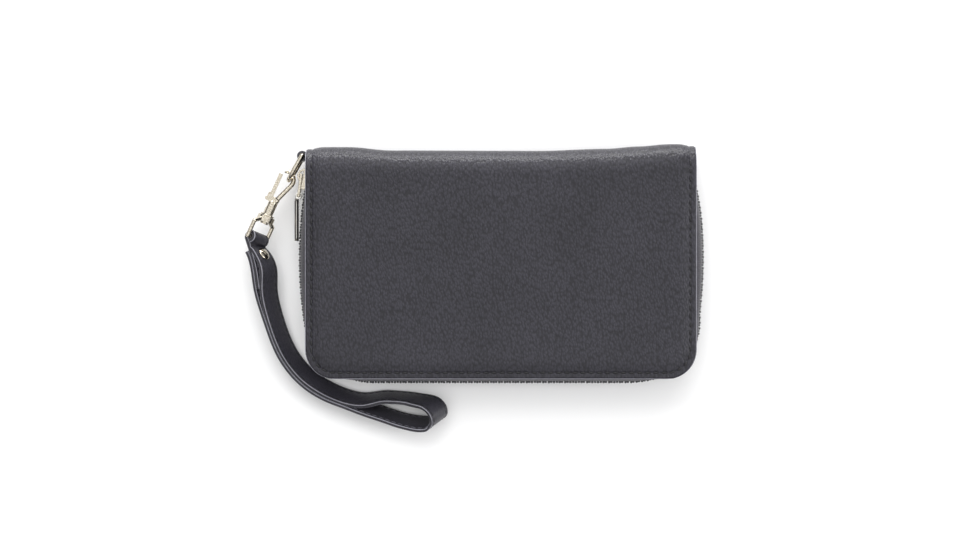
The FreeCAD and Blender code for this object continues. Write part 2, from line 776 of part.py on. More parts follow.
def claw_path():
    """The claw's middle line: a straight run that touches the arc round the D-ring's end."""
    radius = size("claw_radius")
    centre = Vector(size("claw_offset"), size("claw_centre"), 0)
    root = Vector(size("claw_root"), size("shank_top") + size("shank_foot"), 0)
    gap = centre - root
    heading = math.atan2(gap.y, gap.x) - math.asin(radius / gap.Length)
    onward = Vector(math.cos(heading), math.sin(heading), 0)
    touch = root + onward * math.sqrt(gap.Length**2 - radius**2)
    begin = math.atan2(touch.y - centre.y, touch.x - centre.x)
    end = math.radians(size("claw_end"))

    def on_arc(angle):
        return centre + Vector(math.cos(angle), math.sin(angle), 0) * radius

    arc = Part.Arc(touch, on_arc((begin + end) / 2), on_arc(end)).toShape()
    return Part.Wire([Part.makeLine(root, touch), arc]), root, onward, on_arc(end)


def hook():
    """The hook in its own frame: Y along its axis from the collar to the claw, X to its claw side."""
    wire, radius = size("claw_wire"), size("shank_radius")
    foot, top = size("shank_foot"), size("shank_top")
    collar_half = size("collar_height") / 2
    end_gap = size("collar_end_gap")
    path, root, onward, tip_spot = claw_path()
    claw = path.makePipeShell([Part.Wire(Part.makeCircle(wire, root, onward))], True, True)
    neck = wire + size("root_swell")
    tip = Part.makeSphere(wire, tip_spot)
    root_ball = Part.makeSphere(neck, root)
    shank = Part.makeCylinder(radius, top - foot, Vector(0, foot, 0), hook_axis)
    shoulder = Part.makeCone(radius, neck, size("shoulder_height"), Vector(0, top, 0), hook_axis)
    flange = Part.makeCylinder(radius + size("flange_lip"), size("flange_height"),
                               Vector(0, collar_half + end_gap / 2, 0), hook_axis)
    post = Part.makeCylinder(size("post_radius"), 2 * collar_half + 3 * end_gap,
                             Vector(0, -collar_half - end_gap, 0), hook_axis)
    body = fused([claw, tip, shank, shoulder, flange, post, root_ball])
    # the gate's slot runs up the left side of the shank
    slot = Part.makeBox(2 * radius, size("claw_centre"), gate_slot,
                        Vector(-2 * radius - size("gate_slot_wall"),
                               size("gate_pivot") - size("gate_slot_below"), -gate_slot / 2))
    body = body.cut(slot)
    body = body.fuse(gate_ears()).removeSplitter()
    pin_foot = Vector(gate_x, size("gate_pivot"), -ear_reach)
    pin = Part.makeCylinder(size("gate_pin"), 2 * ear_reach, pin_foot)
    body = body.cut(pin)
    body.Placement = hook_place
    keep(feature("snap_hook", body), "snap_hook")
    pin.Placement = hook_place
    keep(feature("gate_pin", pin), "gate_pin")
    head_height = size("post_head_height")
    head = Part.makeCylinder(size("post_head"), head_height,
                             Vector(0, -collar_half - end_gap - head_height, 0), hook_axis)
    head.Placement = hook_place
    keep(feature("swivel_rivet_head", head), "swivel_rivet_head")


def gate_ears():
    """Two cheeks that carry the gate's pin."""
    pivot, radius, thick = size("gate_pivot"), size("ear_radius"), size("ear_thickness")
    ears = []
    for low in (-ear_reach, gate_slot / 2):
        ears.append(Part.makeCylinder(radius, thick, Vector(gate_x, pivot, low)))
        foot = Vector(gate_x, pivot - radius, low)
        ears.append(Part.makeBox(size("ear_length"), 2 * radius, thick, foot))
    return ears


def gate():
    """The sprung gate: a bar from the pin to the claw's tip, with a thumb piece below the pin."""
    wide, tall = size("gate_width"), size("gate_height")
    pivot, knob = size("gate_pivot"), size("knob_radius")
    left = gate_x - wide / 2
    length = size("claw_centre") + size("gate_past_claw") - pivot
    bar = Part.makeBox(wide, length, tall, Vector(left, pivot, -tall / 2))
    eye = Part.makeCylinder(wide / 2, tall, Vector(gate_x, pivot, -tall / 2))
    thumb = Part.makeBox(size("thumb_width"), size("thumb_length"), tall,
                         Vector(left - size("thumb_reach"), pivot - 2 * sunk, -tall / 2))
    knob_spot = Vector(left - size("thumb_reach") + knob / 3, pivot - sunk, -tall / 2)
    ball = Part.makeCylinder(knob, tall, knob_spot)
    hole = Part.makeCylinder(size("gate_pin") + size("gate_pin_clearance"), tall,
                             Vector(gate_x, pivot, -tall / 2))
    whole = fused([bar, eye, thumb, ball]).cut(hole)
    whole.Placement = hook_place
    keep(feature("snap_gate", whole), "snap_gate")


bar_spot = hook_place.multVec(Vector(0, -size("swivel_bar_drop"), 0))
shank_line = hook_turn.multVec(Vector(0, 1, 0))
swivel_place = hook_place * Placement(Vector(), Rotation(Vector(0, 1, 0), -size("swivel_turn")))


def swivel_ring():
    """The collar that turns on the hook's post, and the wire frame below it that holds the strap."""
    wire, drop = size("swivel_wire"), size("swivel_bar_drop")
    half = size("strap_width") / 2 + size("swivel_side_gap") + wire
    low = size("collar_height") / 2
    collar = Part.makeCylinder(size("collar_radius"), 2 * low, Vector(0, -low, 0), hook_axis)
    bar = Part.makeCylinder(wire, 2 * half, Vector(0, -drop, -half))
    shapes = [collar, bar]
    top = -low - wire - size("swivel_shoulder_drop")
    for z in (-half, half):
        corner, shoulder = Vector(0, -drop, z), Vector(0, top, z)
        inward = Vector(0, -low + wire, math.copysign(size("collar_radius") - wire, z))
        shapes.append(Part.makeCylinder(wire, drop + top, corner, hook_axis))
        shapes.append(Part.makeSphere(wire, corner))
        shapes.append(Part.makeSphere(wire, shoulder))
        shapes.append(Part.makeCylinder(wire, (inward - shoulder).Length, shoulder, inward - shoulder))
    bore = Part.makeCylinder(size("post_radius") + size("post_clearance"), drop,
                             Vector(0, -low - drop / 3, 0), hook_axis)
    whole = fused(shapes).cut(bore)
    whole.Placement = swivel_place
    keep(feature("swivel_ring", whole), "swivel_ring")


# ---- wrist strap ----

layer = size("strap_leather") + size("strap_backing")
layer_pitch = layer + size("strap_gap")
mouth_line = -half_depth
left_line = -half_width

# Stations of the doubled strap from the rivet to the hand loop: distance from the cover's left edge,
# share of the way from the mouth line up to the swivel bar, height of the middle over the table
# as a share of the way up to the swivel bar, and the direction from the upper to the lower edge.
DOUBLED = [
    (-22.6, 0.88, 0.95, (0.53, 0.02, -0.85)),
    (-19.7, 0.65, 0.70, (0.56, 0.05, -0.83)),
    (-16.1, 0.42, 0.42, (0.54, 0.15, -0.83)),
    (-10.3, 0.19, 0.16, (0.48, 0.30, -0.82)),
    (-1.6, 0.015, 0.03, (0.36, 0.45, -0.82)),
    (10.3, -0.105, 0.02, (0.22, 0.53, -0.82)),
    (18.6, -0.155, 0.02, (0.15, 0.53, -0.83)),
]
HAND_LOOP = [
    (27.5, -0.162, 0.01, (0.12, 0.48, -0.87)),
    (36.3, -0.141, 0.02, (0.16, 0.40, -0.89)),
    (42.0, -0.143, 0.05, (0.22, 0.37, -0.89)),
    (47.7, -0.150, 0.16, (0.32, 0.37, -0.86)),
    (53.5, -0.165, 0.42, (0.46, 0.40, -0.78)),
    (59.0, -0.188, 0.76, (0.60, 0.42, -0.68)),
    (61.8, -0.232, 0.86, (0.62, 0.42, -0.66)),
    (62.5, -0.286, 0.65, (0.62, 0.42, -0.66)),
    (60.9, -0.319, 0.27, (0.61, 0.42, -0.67)),
    (57.8, -0.331, 0.04, (0.56, 0.43, -0.71)),
    (53.5, -0.334, 0.01, (0.46, 0.44, -0.77)),
    (47.7, -0.320, 0.01, (0.32, 0.45, -0.83)),
    (42.0, -0.296, 0.01, (0.22, 0.47, -0.85)),
    (36.3, -0.266, 0.01, (0.16, 0.49, -0.86)),
    (27.5, -0.221, 0.01, (0.12, 0.51, -0.85)),
]


def station(x, share, rise, lean):
    width_dir = Vector(*lean).normalize()
    flat = math.sqrt(1 - width_dir.z**2)
    rest = -width_dir.z * size("strap_width") / 2 + flat * layer / 2 + size("strap_rest_gap")
    spot = Vector(
        left_line + x,
        mouth_line + share * (bar_spot.y - mouth_line),
        rest + rise * (middle - rest),
    )
    return spot, width_dir


def strap_route():
    """Middle line and width directions of the one strip: tail, turn over the bar, front, loop, back."""
    doubled = [station(*row) for row in DOUBLED]
    bar_lean = swivel_place.Rotation.multVec(Vector(0, 0, -1))
    away = -shank_line
    outward = away.cross(bar_lean).normalize()

    def shifted(index, offset):
        spot, lean = doubled[index]
        before = doubled[index - 1][0] if index else bar_spot
        after = doubled[index + 1][0] if index + 1 < len(doubled) else station(*HAND_LOOP[0])[0]
        face = (after - before).cross(lean).normalize()
        return spot + face * offset, lean

    wrap = size("swivel_wire") + 2 * size("pin_clearance") + layer / 2
    route = [shifted(1, 0), shifted(0, 0)]
    for angle in range(-150, 151, 30):
        turn = math.radians(angle)
        swing = outward * math.sin(turn) - away * math.cos(turn)
        route.append((bar_spot + swing * wrap, bar_lean))
    route.append(shifted(0, layer_pitch))
    route.append(shifted(1, layer_pitch * size("strap_pinch")))
    for index in range(2, len(doubled)):
        route.append(shifted(index, layer_pitch / 2))
    route += [station(*row) for row in HAND_LOOP]
    for index in range(len(doubled) - 1, 1, -1):
        route.append(shifted(index, -layer_pitch / 2))
    route.append(shifted(1, -layer_pitch))
    route.append(shifted(0, -layer_pitch))
    spot, lean = route[-1]
    onward = (spot - route[-2][0]).normalize()
    outer_side = onward.cross(lean).normalize()
    route.append((spot + onward * size("tail_reach") + outer_side * size("tail_lift"), lean))
    return route


def strap_sections():
    """Frames along the strip, closer in its bends: spot, width direction, direction of the outer face."""
    route = strap_route()
    line = Part.BSplineCurve()
    line.interpolate([spot for spot, lean in route])
    knots = line.getKnots()
    frames = []
    for span, (start, end) in enumerate(zip(knots, knots[1:])):
        steps = max(2, round(line.length(start, end) / size("strap_step")))
        last = span == len(knots) - 2
        for index in range(steps + (1 if last else 0)):
            part = index / steps
            spot = line.value(start + part * (end - start))
            along = line.tangent(start + part * (end - start))[0]
            lean = route[span][1] * (1 - part) + route[span + 1][1] * part
            lean = (lean - along * lean.dot(along)).normalize()
            face = along.cross(lean)
            lowest = spot.z - abs(lean.z) * size("strap_width") / 2 - abs(face.z) * layer / 2
            spot.z += max(0.0, size("strap_table_gap") - lowest)
            frames.append((spot, lean, face))
    return frames, line.length()


def triangle(first, second, third):
    return Part.Face(Part.makePolygon([first, second, third, first]))


def strip_solid(sections):
    """A closed solid through four-cornered sections, its sides made of flat triangles."""
    faces = []
    for start, end in zip(sections, sections[1:]):
        for corner in range(4):
            after = (corner + 1) % 4
            # opposite sides are split the same way, so that two strips fit face to face
            if corner < 2:
                faces.append(triangle(start[corner], start[after], end[after]))
                faces.append(triangle(start[corner], end[after], end[corner]))
            else:
                faces.append(triangle(start[corner], start[after], end[corner]))
                faces.append(triangle(start[after], end[after], end[corner]))
    for a, b, c, d in (sections[0][::-1], sections[-1]):
        faces.append(triangle(a, b, c))
        faces.append(triangle(a, c, d))
    shell_of_faces = Part.makeShell(faces)
    shell_of_faces.sewShape()
    solid = Part.makeSolid(shell_of_faces)
    if solid.Volume < 0:
        solid.reverse()
    return solid


def strap():
    """The outer leather and its backing, glued and sewn together, as two layers of one long strip."""
    frames, length = strap_sections()
    half = size("strap_width") / 2
    thick = layer / 2
    split = thick - size("strap_leather")
    for node, low, high in (("strap_outer", split, thick), ("strap_backing", -thick, split)):
        sections = []
        for spot, lean, face in frames:
            sections.append([
                spot - lean * half + face * low,
                spot + lean * half + face * low,
                spot + lean * half + face * high,
                spot - lean * half + face * high,
            ])
        solid = strip_solid(sections)
        keep(feature(node, solid), node)
        print("%s %.0f mm3, %.0f by length" % (node, solid.Volume, length * 2 * half * (high - low)))
    print("strap length %.1f mm" % length)


def strap_rivet():
    """A domed cap on the front run and a plain washer on the back run, over a post between them."""
    frames, length = strap_sections()
    wanted = station(*DOUBLED[0])[0] - shank_line
    outward = Vector(1, 0, 0)
    facing = size("rivet_facing")
    front_run = [f for f in frames if f[2].dot(outward) > facing]
    back_run = [f for f in frames[len(frames) // 2:] if f[2].dot(outward) < -facing]
    front = min(front_run, key=lambda f: (f[0] - wanted).Length)
    back = min(back_run, key=lambda f: (f[0] - wanted).Length)
    radius, dome, rim = size("rivet_radius"), size("rivet_cap"), size("rivet_rim")
    cap = Part.makeCylinder(radius, rim)
    ball = Part.makeSphere((radius**2 + dome**2) / (2 * dome))
    ball.translate(Vector(0, 0, dome + rim - ball.BoundBox.ZMax))
    cap = cap.fuse(ball.common(Part.makeCylinder(radius, dome, Vector(0, 0, rim)))).removeSplitter()
    washer = Part.makeCylinder(radius, size("rivet_washer"))
    for node, disc, frame, gap in (
        ("strap_rivet_cap", cap, front, size("rivet_seat_gap")),
        ("strap_rivet_back", washer, back, size("washer_seat_gap")),
    ):
        seat = frame[0] + frame[2] * (layer / 2 + gap)
        disc.Placement = Placement(seat, Rotation(Vector(0, 0, 1), frame[2]))
        keep(feature(node, disc), node)


covers()
spine()
card_panels()
gussets()
coin_pocket()
coin_pivot = coin_zip()
zip_tapes()
zip_teeth()
zip_stop()
zip_slider()
pull()
ring_tab()
d_ring()
hook()
gate()
swivel_ring()
strap()
strap_rivet()

doc.recompute()
for item in doc.Objects:
    if "Invalid" in item.State or "Error" in item.State:
        raise RuntimeError(f"{item.Name} did not recompute: {item.State}")
os.makedirs("parts", exist_ok=True)
for item in parts:
    shape = item.Shape
    if shape.isNull() or not shape.isValid():
        raise RuntimeError(f"{item.Label} has no valid shape")
    shape.exportStep(f"parts/{item.Label}.step")
for name, spot in (
    ("cover hinge", Vector(0, half_depth, middle)),
    ("zip arc centre", zip_centre),
    ("link pivot", link_pivot),
    ("pull pivot", pull_pivot),
    ("coin pull pivot", coin_pivot),
    ("tab", tab_spot),
    ("ring end", ring_end),
    ("hook base", hook_base),
    ("gate pivot", hook_place.multVec(Vector(gate_x, size("gate_pivot"), 0))),
    ("swivel bar", bar_spot),
    ("swivel bar direction", swivel_place.Rotation.multVec(Vector(0, 0, 1))),
    ("shank direction", shank_line),
):
    print("%s %.4f %.4f %.4f" % (name, spot.x, spot.y, spot.z))
print(len(parts), "pieces")
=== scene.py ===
import json
import math

import bmesh
import bpy
import numpy as np
from mathutils import Matrix, Vector

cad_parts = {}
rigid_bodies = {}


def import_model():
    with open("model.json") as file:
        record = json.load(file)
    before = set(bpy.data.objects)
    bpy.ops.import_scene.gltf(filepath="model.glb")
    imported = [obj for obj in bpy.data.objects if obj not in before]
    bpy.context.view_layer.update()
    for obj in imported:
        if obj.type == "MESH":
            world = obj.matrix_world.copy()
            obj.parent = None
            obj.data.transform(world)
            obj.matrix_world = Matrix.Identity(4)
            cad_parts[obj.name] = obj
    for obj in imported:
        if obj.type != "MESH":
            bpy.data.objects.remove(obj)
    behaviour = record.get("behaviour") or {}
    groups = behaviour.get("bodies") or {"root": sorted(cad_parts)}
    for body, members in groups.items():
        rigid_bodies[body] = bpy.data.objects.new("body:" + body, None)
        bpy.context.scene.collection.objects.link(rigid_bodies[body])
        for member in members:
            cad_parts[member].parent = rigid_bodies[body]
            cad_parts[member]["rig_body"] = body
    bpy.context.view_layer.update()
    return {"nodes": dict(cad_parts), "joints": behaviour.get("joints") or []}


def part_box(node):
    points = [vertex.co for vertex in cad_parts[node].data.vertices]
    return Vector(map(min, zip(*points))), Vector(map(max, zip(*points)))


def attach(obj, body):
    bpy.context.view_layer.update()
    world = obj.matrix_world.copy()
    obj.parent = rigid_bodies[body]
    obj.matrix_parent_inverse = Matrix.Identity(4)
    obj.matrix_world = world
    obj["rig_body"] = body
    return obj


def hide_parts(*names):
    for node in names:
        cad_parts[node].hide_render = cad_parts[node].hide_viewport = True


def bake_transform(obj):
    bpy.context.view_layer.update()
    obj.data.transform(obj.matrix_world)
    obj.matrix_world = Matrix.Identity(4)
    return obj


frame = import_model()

mm = 0.001
joints = {j["name"]: j for j in frame["joints"]}

# places taken from the frame, in metres
coverLow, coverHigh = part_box("front_cover")
halfWidth = coverHigh.x
mouthY = coverLow.y
frontZ = coverHigh.z
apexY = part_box("spine_front")[1].y
midZ = joints["cover_open"]["pos_m"][2]
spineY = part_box("spine_front")[0].y


# small tools

def addNode(tree, kind, inputs=None, **settings):
    # adds a shader node; an input is a value, or (node, output) to link from
    node = tree.nodes.new(kind)
    for name, value in settings.items():
        setattr(node, name, value)
    for name, value in (inputs or {}).items():
        socket = node.inputs[name]
        if isinstance(value, tuple) and len(value) == 2 and hasattr(value[0], "outputs"):
            tree.links.new(value[0].outputs[value[1]], socket)
        else:
            socket.default_value = value
    return node


def srgb(code):
    # a hex colour as the renderer's linear one
    parts = [int(code[i:i + 2], 16) / 255 for i in (1, 3, 5)]
    linear = [p / 12.92 if p <= 0.04045 else ((p + 0.055) / 1.055) ** 2.4 for p in parts]
    return (*linear, 1.0)


def newMaterial(name):
    mat = bpy.data.materials.new(name)
    mat.use_nodes = True
    tree = mat.node_tree
    tree.nodes.clear()
    out = addNode(tree, "ShaderNodeOutputMaterial")
    shader = addNode(tree, "ShaderNodeBsdfPrincipled")
    tree.links.new(shader.outputs[0], out.inputs[0])
    return mat, tree, shader


def ramp(tree, source, low, high, lowColour, highColour):
    node = addNode(tree, "ShaderNodeValToRGB", {0: source})
    node.color_ramp.elements[0].position = low
    node.color_ramp.elements[0].color = lowColour
    node.color_ramp.elements[1].position = high
    node.color_ramp.elements[1].color = highColour
    return node


def finish(bm, name, materials, smooth=True):
    # a bmesh becomes an object at the origin
    mesh = bpy.data.meshes.new(name)
    bm.to_mesh(mesh)
    bm.free()
    for poly in mesh.polygons:
        poly.use_smooth = smooth
    obj = bpy.data.objects.new(name, mesh)
    bpy.context.scene.collection.objects.link(obj)
    for mat in materials:
        mesh.materials.append(mat)
    return obj


def smoothStep(low, high, value):
    t = min(max((value - low) / (high - low), 0.0), 1.0)
    return t * t * (3 - 2 * t)


# materials

hide = {
    "stretch": (1.4, 0.75, 1.0), "wobble": 6 * mm, "wobbleShare": 0.0012, "soften": 0.35, "creaseShare": 0.55,
    "patch": 28 * mm, "relief": 0.25 * mm, "smoother": 0.07, "rougher": 0.09, "ior": 1.5,
}


def grainedLeather(name, settings):
    # drummed cowhide with a pressed pebble grain: satin pebbles, with the valleys between them coloured darker as
    # painted shade
    mat, tree, shader = newMaterial(name)
    where = addNode(tree, "ShaderNodeTexCoord")
    turned = addNode(tree, "ShaderNodeMapping", {"Vector": (where, "Object")})
    turned.inputs["Scale"].default_value = hide["stretch"]
    wobble = addNode(tree, "ShaderNodeTexNoise", {"Vector": (turned, 0), "Scale": 1 / hide["wobble"]})
    mixed = addNode(tree, "ShaderNodeMix", data_type="VECTOR")
    mixed.inputs["Factor"].default_value = hide["wobbleShare"]
    tree.links.new(turned.outputs[0], mixed.inputs[4])
    tree.links.new(wobble.outputs["Color"], mixed.inputs[5])
    pebble = addNode(tree, "ShaderNodeTexVoronoi", {"Vector": (mixed, 1), "Scale": 1 / (settings["grain"] * mm)},
                     feature="SMOOTH_F1")
    pebble.inputs["Smoothness"].default_value = hide["soften"]
    crease = addNode(tree, "ShaderNodeTexNoise",
                     {"Vector": (turned, 0), "Scale": 1 / (settings["crease"] * mm), "Detail": 4.0})
    patch = addNode(tree, "ShaderNodeTexNoise",
                    {"Vector": (where, "Object"), "Scale": 1 / hide["patch"], "Detail": 2.0})
    height = addNode(tree, "ShaderNodeMath", {0: (pebble, "Distance"), 1: -1.0}, operation="MULTIPLY")
    height = addNode(tree, "ShaderNodeMath", {0: (crease, "Fac"), 1: hide["creaseShare"], 2: (height, 0)},
                     operation="MULTIPLY_ADD")
    # grain tone with painted shade: the colour darkens with pebble distance, so the low valleys between pebbles
    # are darker
    tone = ramp(tree, (pebble, "Distance"), 0.25, 0.75, srgb(settings["light"]), srgb(settings["dark"]))
    cloudy = ramp(tree, (patch, "Fac"), 0.3, 0.7, (0.86, 0.86, 0.88, 1), (1.1, 1.1, 1.12, 1))
    colour = addNode(tree, "ShaderNodeMix", data_type="RGBA", blend_type="MULTIPLY")
    colour.inputs["Factor"].default_value = 1.0
    tree.links.new(tone.outputs[0], colour.inputs[6])
    tree.links.new(cloudy.outputs[0], colour.inputs[7])
    tree.links.new(colour.outputs[2], shader.inputs["Base Color"])
    rough = addNode(tree, "ShaderNodeMapRange", {"Value": (crease, "Fac")})
    rough.inputs["To Min"].default_value = settings["rough"] - hide["smoother"]
    rough.inputs["To Max"].default_value = settings["rough"] + hide["rougher"]
    tree.links.new(rough.outputs[0], shader.inputs["Roughness"])
    bump = addNode(tree, "ShaderNodeBump", {"Height": (height, 0)})
    bump.inputs["Strength"].default_value = settings["relief"]
    bump.inputs["Distance"].default_value = hide["relief"]
    tree.links.new(bump.outputs[0], shader.inputs["Normal"])
    shader.inputs["IOR"].default_value = hide["ior"]
    shader.inputs["Specular IOR Level"].default_value = settings["gloss"]
    return mat


def plainFinish(name, settings):
    # painted edges, waxed thread and other even surfaces: one colour with a slight mottle
    mat, tree, shader = newMaterial(name)
    where = addNode(tree, "ShaderNodeTexCoord")
    mottle = addNode(tree, "ShaderNodeTexNoise",
                     {"Vector": (where, "Object"), "Scale": 1 / (settings["mottle"] * mm), "Detail": 3.0})
    tone = ramp(tree, (mottle, "Fac"), 0.3, 0.7, srgb(settings["dark"]), srgb(settings["light"]))
    tree.links.new(tone.outputs[0], shader.inputs["Base Color"])
    bump = addNode(tree, "ShaderNodeBump", {"Height": (mottle, "Fac")})
    bump.inputs["Strength"].default_value = settings.get("relief", 0.1)
    bump.inputs["Distance"].default_value = 0.1 * mm
    tree.links.new(bump.outputs[0], shader.inputs["Normal"])
    shader.inputs["Roughness"].default_value = settings["rough"]
    return mat


# the wave pattern repeats every 0.314 of its own units
weave = {
    "repeat": 0.314, "wander": 1.2, "fleck": 0.8 * mm, "strength": 0.5, "relief": 0.15 * mm,
    "rough": 0.85, "sheen": 0.15,
}


def wovenCloth(name, settings):
    # polyester twill: two sets of threads crossing, each thread a small ridge
    mat, tree, shader = newMaterial(name)
    where = addNode(tree, "ShaderNodeTexCoord")
    height = None
    for turn in settings["turns"]:
        turned = addNode(tree, "ShaderNodeMapping", {"Vector": (where, "Object")})
        turned.inputs["Rotation"].default_value = turn
        thread = addNode(tree, "ShaderNodeTexWave", {"Vector": (turned, 0)})
        thread.inputs["Scale"].default_value = weave["repeat"] / (settings["thread"] * mm)
        thread.inputs["Distortion"].default_value = weave["wander"]
        thread.inputs["Detail"].default_value = 1.0
        if height:
            height = addNode(tree, "ShaderNodeMath", {0: (height, 0), 1: (thread, "Fac")}, operation="MAXIMUM")
        else:
            height = addNode(tree, "ShaderNodeMath", {0: (thread, "Fac"), 1: 1.0}, operation="MULTIPLY")
    fleck = addNode(tree, "ShaderNodeTexNoise",
                    {"Vector": (where, "Object"), "Scale": 1 / weave["fleck"], "Detail": 2.0})
    level = addNode(tree, "ShaderNodeMath", {0: (height, 0), 1: (fleck, "Fac")}, operation="MULTIPLY")
    tone = ramp(tree, (level, 0), 0.15, 0.65, srgb(settings["dark"]), srgb(settings["light"]))
    tree.links.new(tone.outputs[0], shader.inputs["Base Color"])
    bump = addNode(tree, "ShaderNodeBump", {"Height": (height, 0)})
    bump.inputs["Strength"].default_value = weave["strength"]
    bump.inputs["Distance"].default_value = weave["relief"]
    tree.links.new(bump.outputs[0], shader.inputs["Normal"])
    shader.inputs["Roughness"].default_value = weave["rough"]
    shader.inputs["Sheen Weight"].default_value = weave["sheen"]
    return mat


plating = {"wave": 1.6 * mm, "rub": 0.5 * mm, "rougher": 0.12, "strength": 0.12, "relief": 0.15 * mm}


def platedMetal(name, settings):
    # die-cast zinc with polished nickel plate: sharp reflections, faint waves from casting
    mat, tree, shader = newMaterial(name)
    where = addNode(tree, "ShaderNodeTexCoord")
    waves = addNode(tree, "ShaderNodeTexNoise",
                    {"Vector": (where, "Object"), "Scale": 1 / plating["wave"], "Detail": 2.0})
    rub = addNode(tree, "ShaderNodeTexNoise",
                  {"Vector": (where, "Object"), "Scale": 1 / plating["rub"], "Detail": 4.0})
    tone = ramp(tree, (rub, "Fac"), 0.35, 0.7, srgb(settings["dark"]), srgb(settings["light"]))
    tree.links.new(tone.outputs[0], shader.inputs["Base Color"])
    rough = addNode(tree, "ShaderNodeMapRange", {"Value": (rub, "Fac")})
    rough.inputs["To Min"].default_value = settings["rough"]
    rough.inputs["To Max"].default_value = settings["rough"] + plating["rougher"]
    tree.links.new(rough.outputs[0], shader.inputs["Roughness"])
    bump = addNode(tree, "ShaderNodeBump", {"Height": (waves, "Fac")})
    bump.inputs["Strength"].default_value = plating["strength"]
    bump.inputs["Distance"].default_value = plating["relief"]
    tree.links.new(bump.outputs[0], shader.inputs["Normal"])
    shader.inputs["Metallic"].default_value = 1.0
    return mat


# drummed cowhide: close pebbles that catch a soft satin light
coverLeather = grainedLeather("pebbled cowhide", {
    "grain": 1.25, "crease": 0.6, "light": "#323138", "dark": "#222126", "rough": 0.37, "relief": 1.0,
    "gloss": 0.3})
# pressed calf: finer and smoother than the cover, a little glossier
strapLeather = grainedLeather("fine grained strap leather", {
    "grain": 0.7, "crease": 0.6, "light": "#3b3a41", "dark": "#2f2e34", "rough": 0.36, "relief": 0.35,
    "gloss": 0.45})
# skived thin for the pockets: flat, dry sheen
slotLeather = grainedLeather("skived pocket leather", {
    "grain": 0.8, "crease": 0.8, "light": "#37363d", "dark": "#2b2a30", "rough": 0.5, "relief": 0.3,
    "gloss": 0.4})
# the strap's inner face and the cover's underside: dark and nearly smooth
splitLeather = grainedLeather("smooth backing leather", {
    "grain": 0.5, "crease": 0.5, "light": "#2c2b31", "dark": "#232228", "rough": 0.5, "relief": 0.2,
    "gloss": 0.4})
# edge paint: an even dark rim with a low shine
paintedEdge = plainFinish("painted leather edge", {
    "mottle": 1.5, "light": "#2f2e35", "dark": "#26252b", "rough": 0.35})
# painted highlight: a thin pale line along the edge's corner, where a painted edge catches the light
edgeCornerHighlight = plainFinish("painted highlight along an edge corner", {
    "mottle": 1.5, "light": "#8f8e97", "dark": "#7a7982", "rough": 0.3})
# waxed top thread: near black dashes
waxedThread = plainFinish("waxed polyester thread", {
    "mottle": 0.4, "light": "#17161a", "dark": "#0e0d10", "rough": 0.55, "relief": 0.3})
# bobbin thread: dashes a shade paler than the leather
backThread = plainFinish("lighter bobbin thread", {
    "mottle": 0.4, "light": "#5e5d66", "dark": "#4d4c55", "rough": 0.5, "relief": 0.3})
# polyester twill tape: dull charcoal with a fine slant
tapeCloth = wovenCloth("zip tape twill", {
    "thread": 0.42, "light": "#4b4950", "dark": "#232228",
    "turns": [(0.5, 0.6, 0.75), (-0.5, -0.6, -0.75)]})
# polyester lining: dull twill, no shine
liningCloth = wovenCloth("lining twill", {
    "thread": 0.5, "light": "#45444d", "dark": "#2b2a31",
    "turns": [(0.0, 0.0, 0.75), (0.0, 0.0, -0.75)]})
# acetal teeth: smooth dark beads of light
toothResin = plainFinish("moulded zip resin", {
    "mottle": 0.6, "light": "#2e2d33", "dark": "#222126", "rough": 0.3})
# bright plate on die-cast zinc: warm sharp mirror
nickelPlate = platedMetal("polished nickel plate", {"light": "#e6dfd0", "dark": "#a79e8d", "rough": 0.1})
# brushed plate on the pull bar: soft pale mirror
satinNickel = platedMetal("satin nickel plate", {"light": "#e4e2dc", "dark": "#cbc8c1", "rough": 0.24})
# pressed fibre: tan, matt and mottled
fibreBoard = plainFinish("bonded fibre board", {
    "mottle": 0.8, "light": "#9a8f7d", "dark": "#7d7362", "rough": 0.8, "relief": 0.3})
print("materials made")


# camera, floor and light

studio = {
    "eye": (-5.6, -5.6, 1200.0), "lens": 92.2, "floor": 6.0,
    "floorTone": "#fafafa", "floorDrop": 0.05 * mm, "reach": 20, "sky": 1.12,
    "horizon": (0.25, (0.08, 0.08, 0.09, 1)), "overhead": (0.85, (1.12, 1.12, 1.12, 1)),
    # name, place and size in metres, watts: a broad key from behind and above, a low strip that draws the
    # line along the spine, a side light
    "lights": [
        ("key", (-0.35, 1.1, 1.3), (1.3, 0.9), 10.5),
        ("strip", (0.1, 1.5, 0.22), (1.7, 0.22), 34.0),
        ("side", (1.3, -0.1, 0.7), (0.5, 1.0), 7.0),
    ],
}


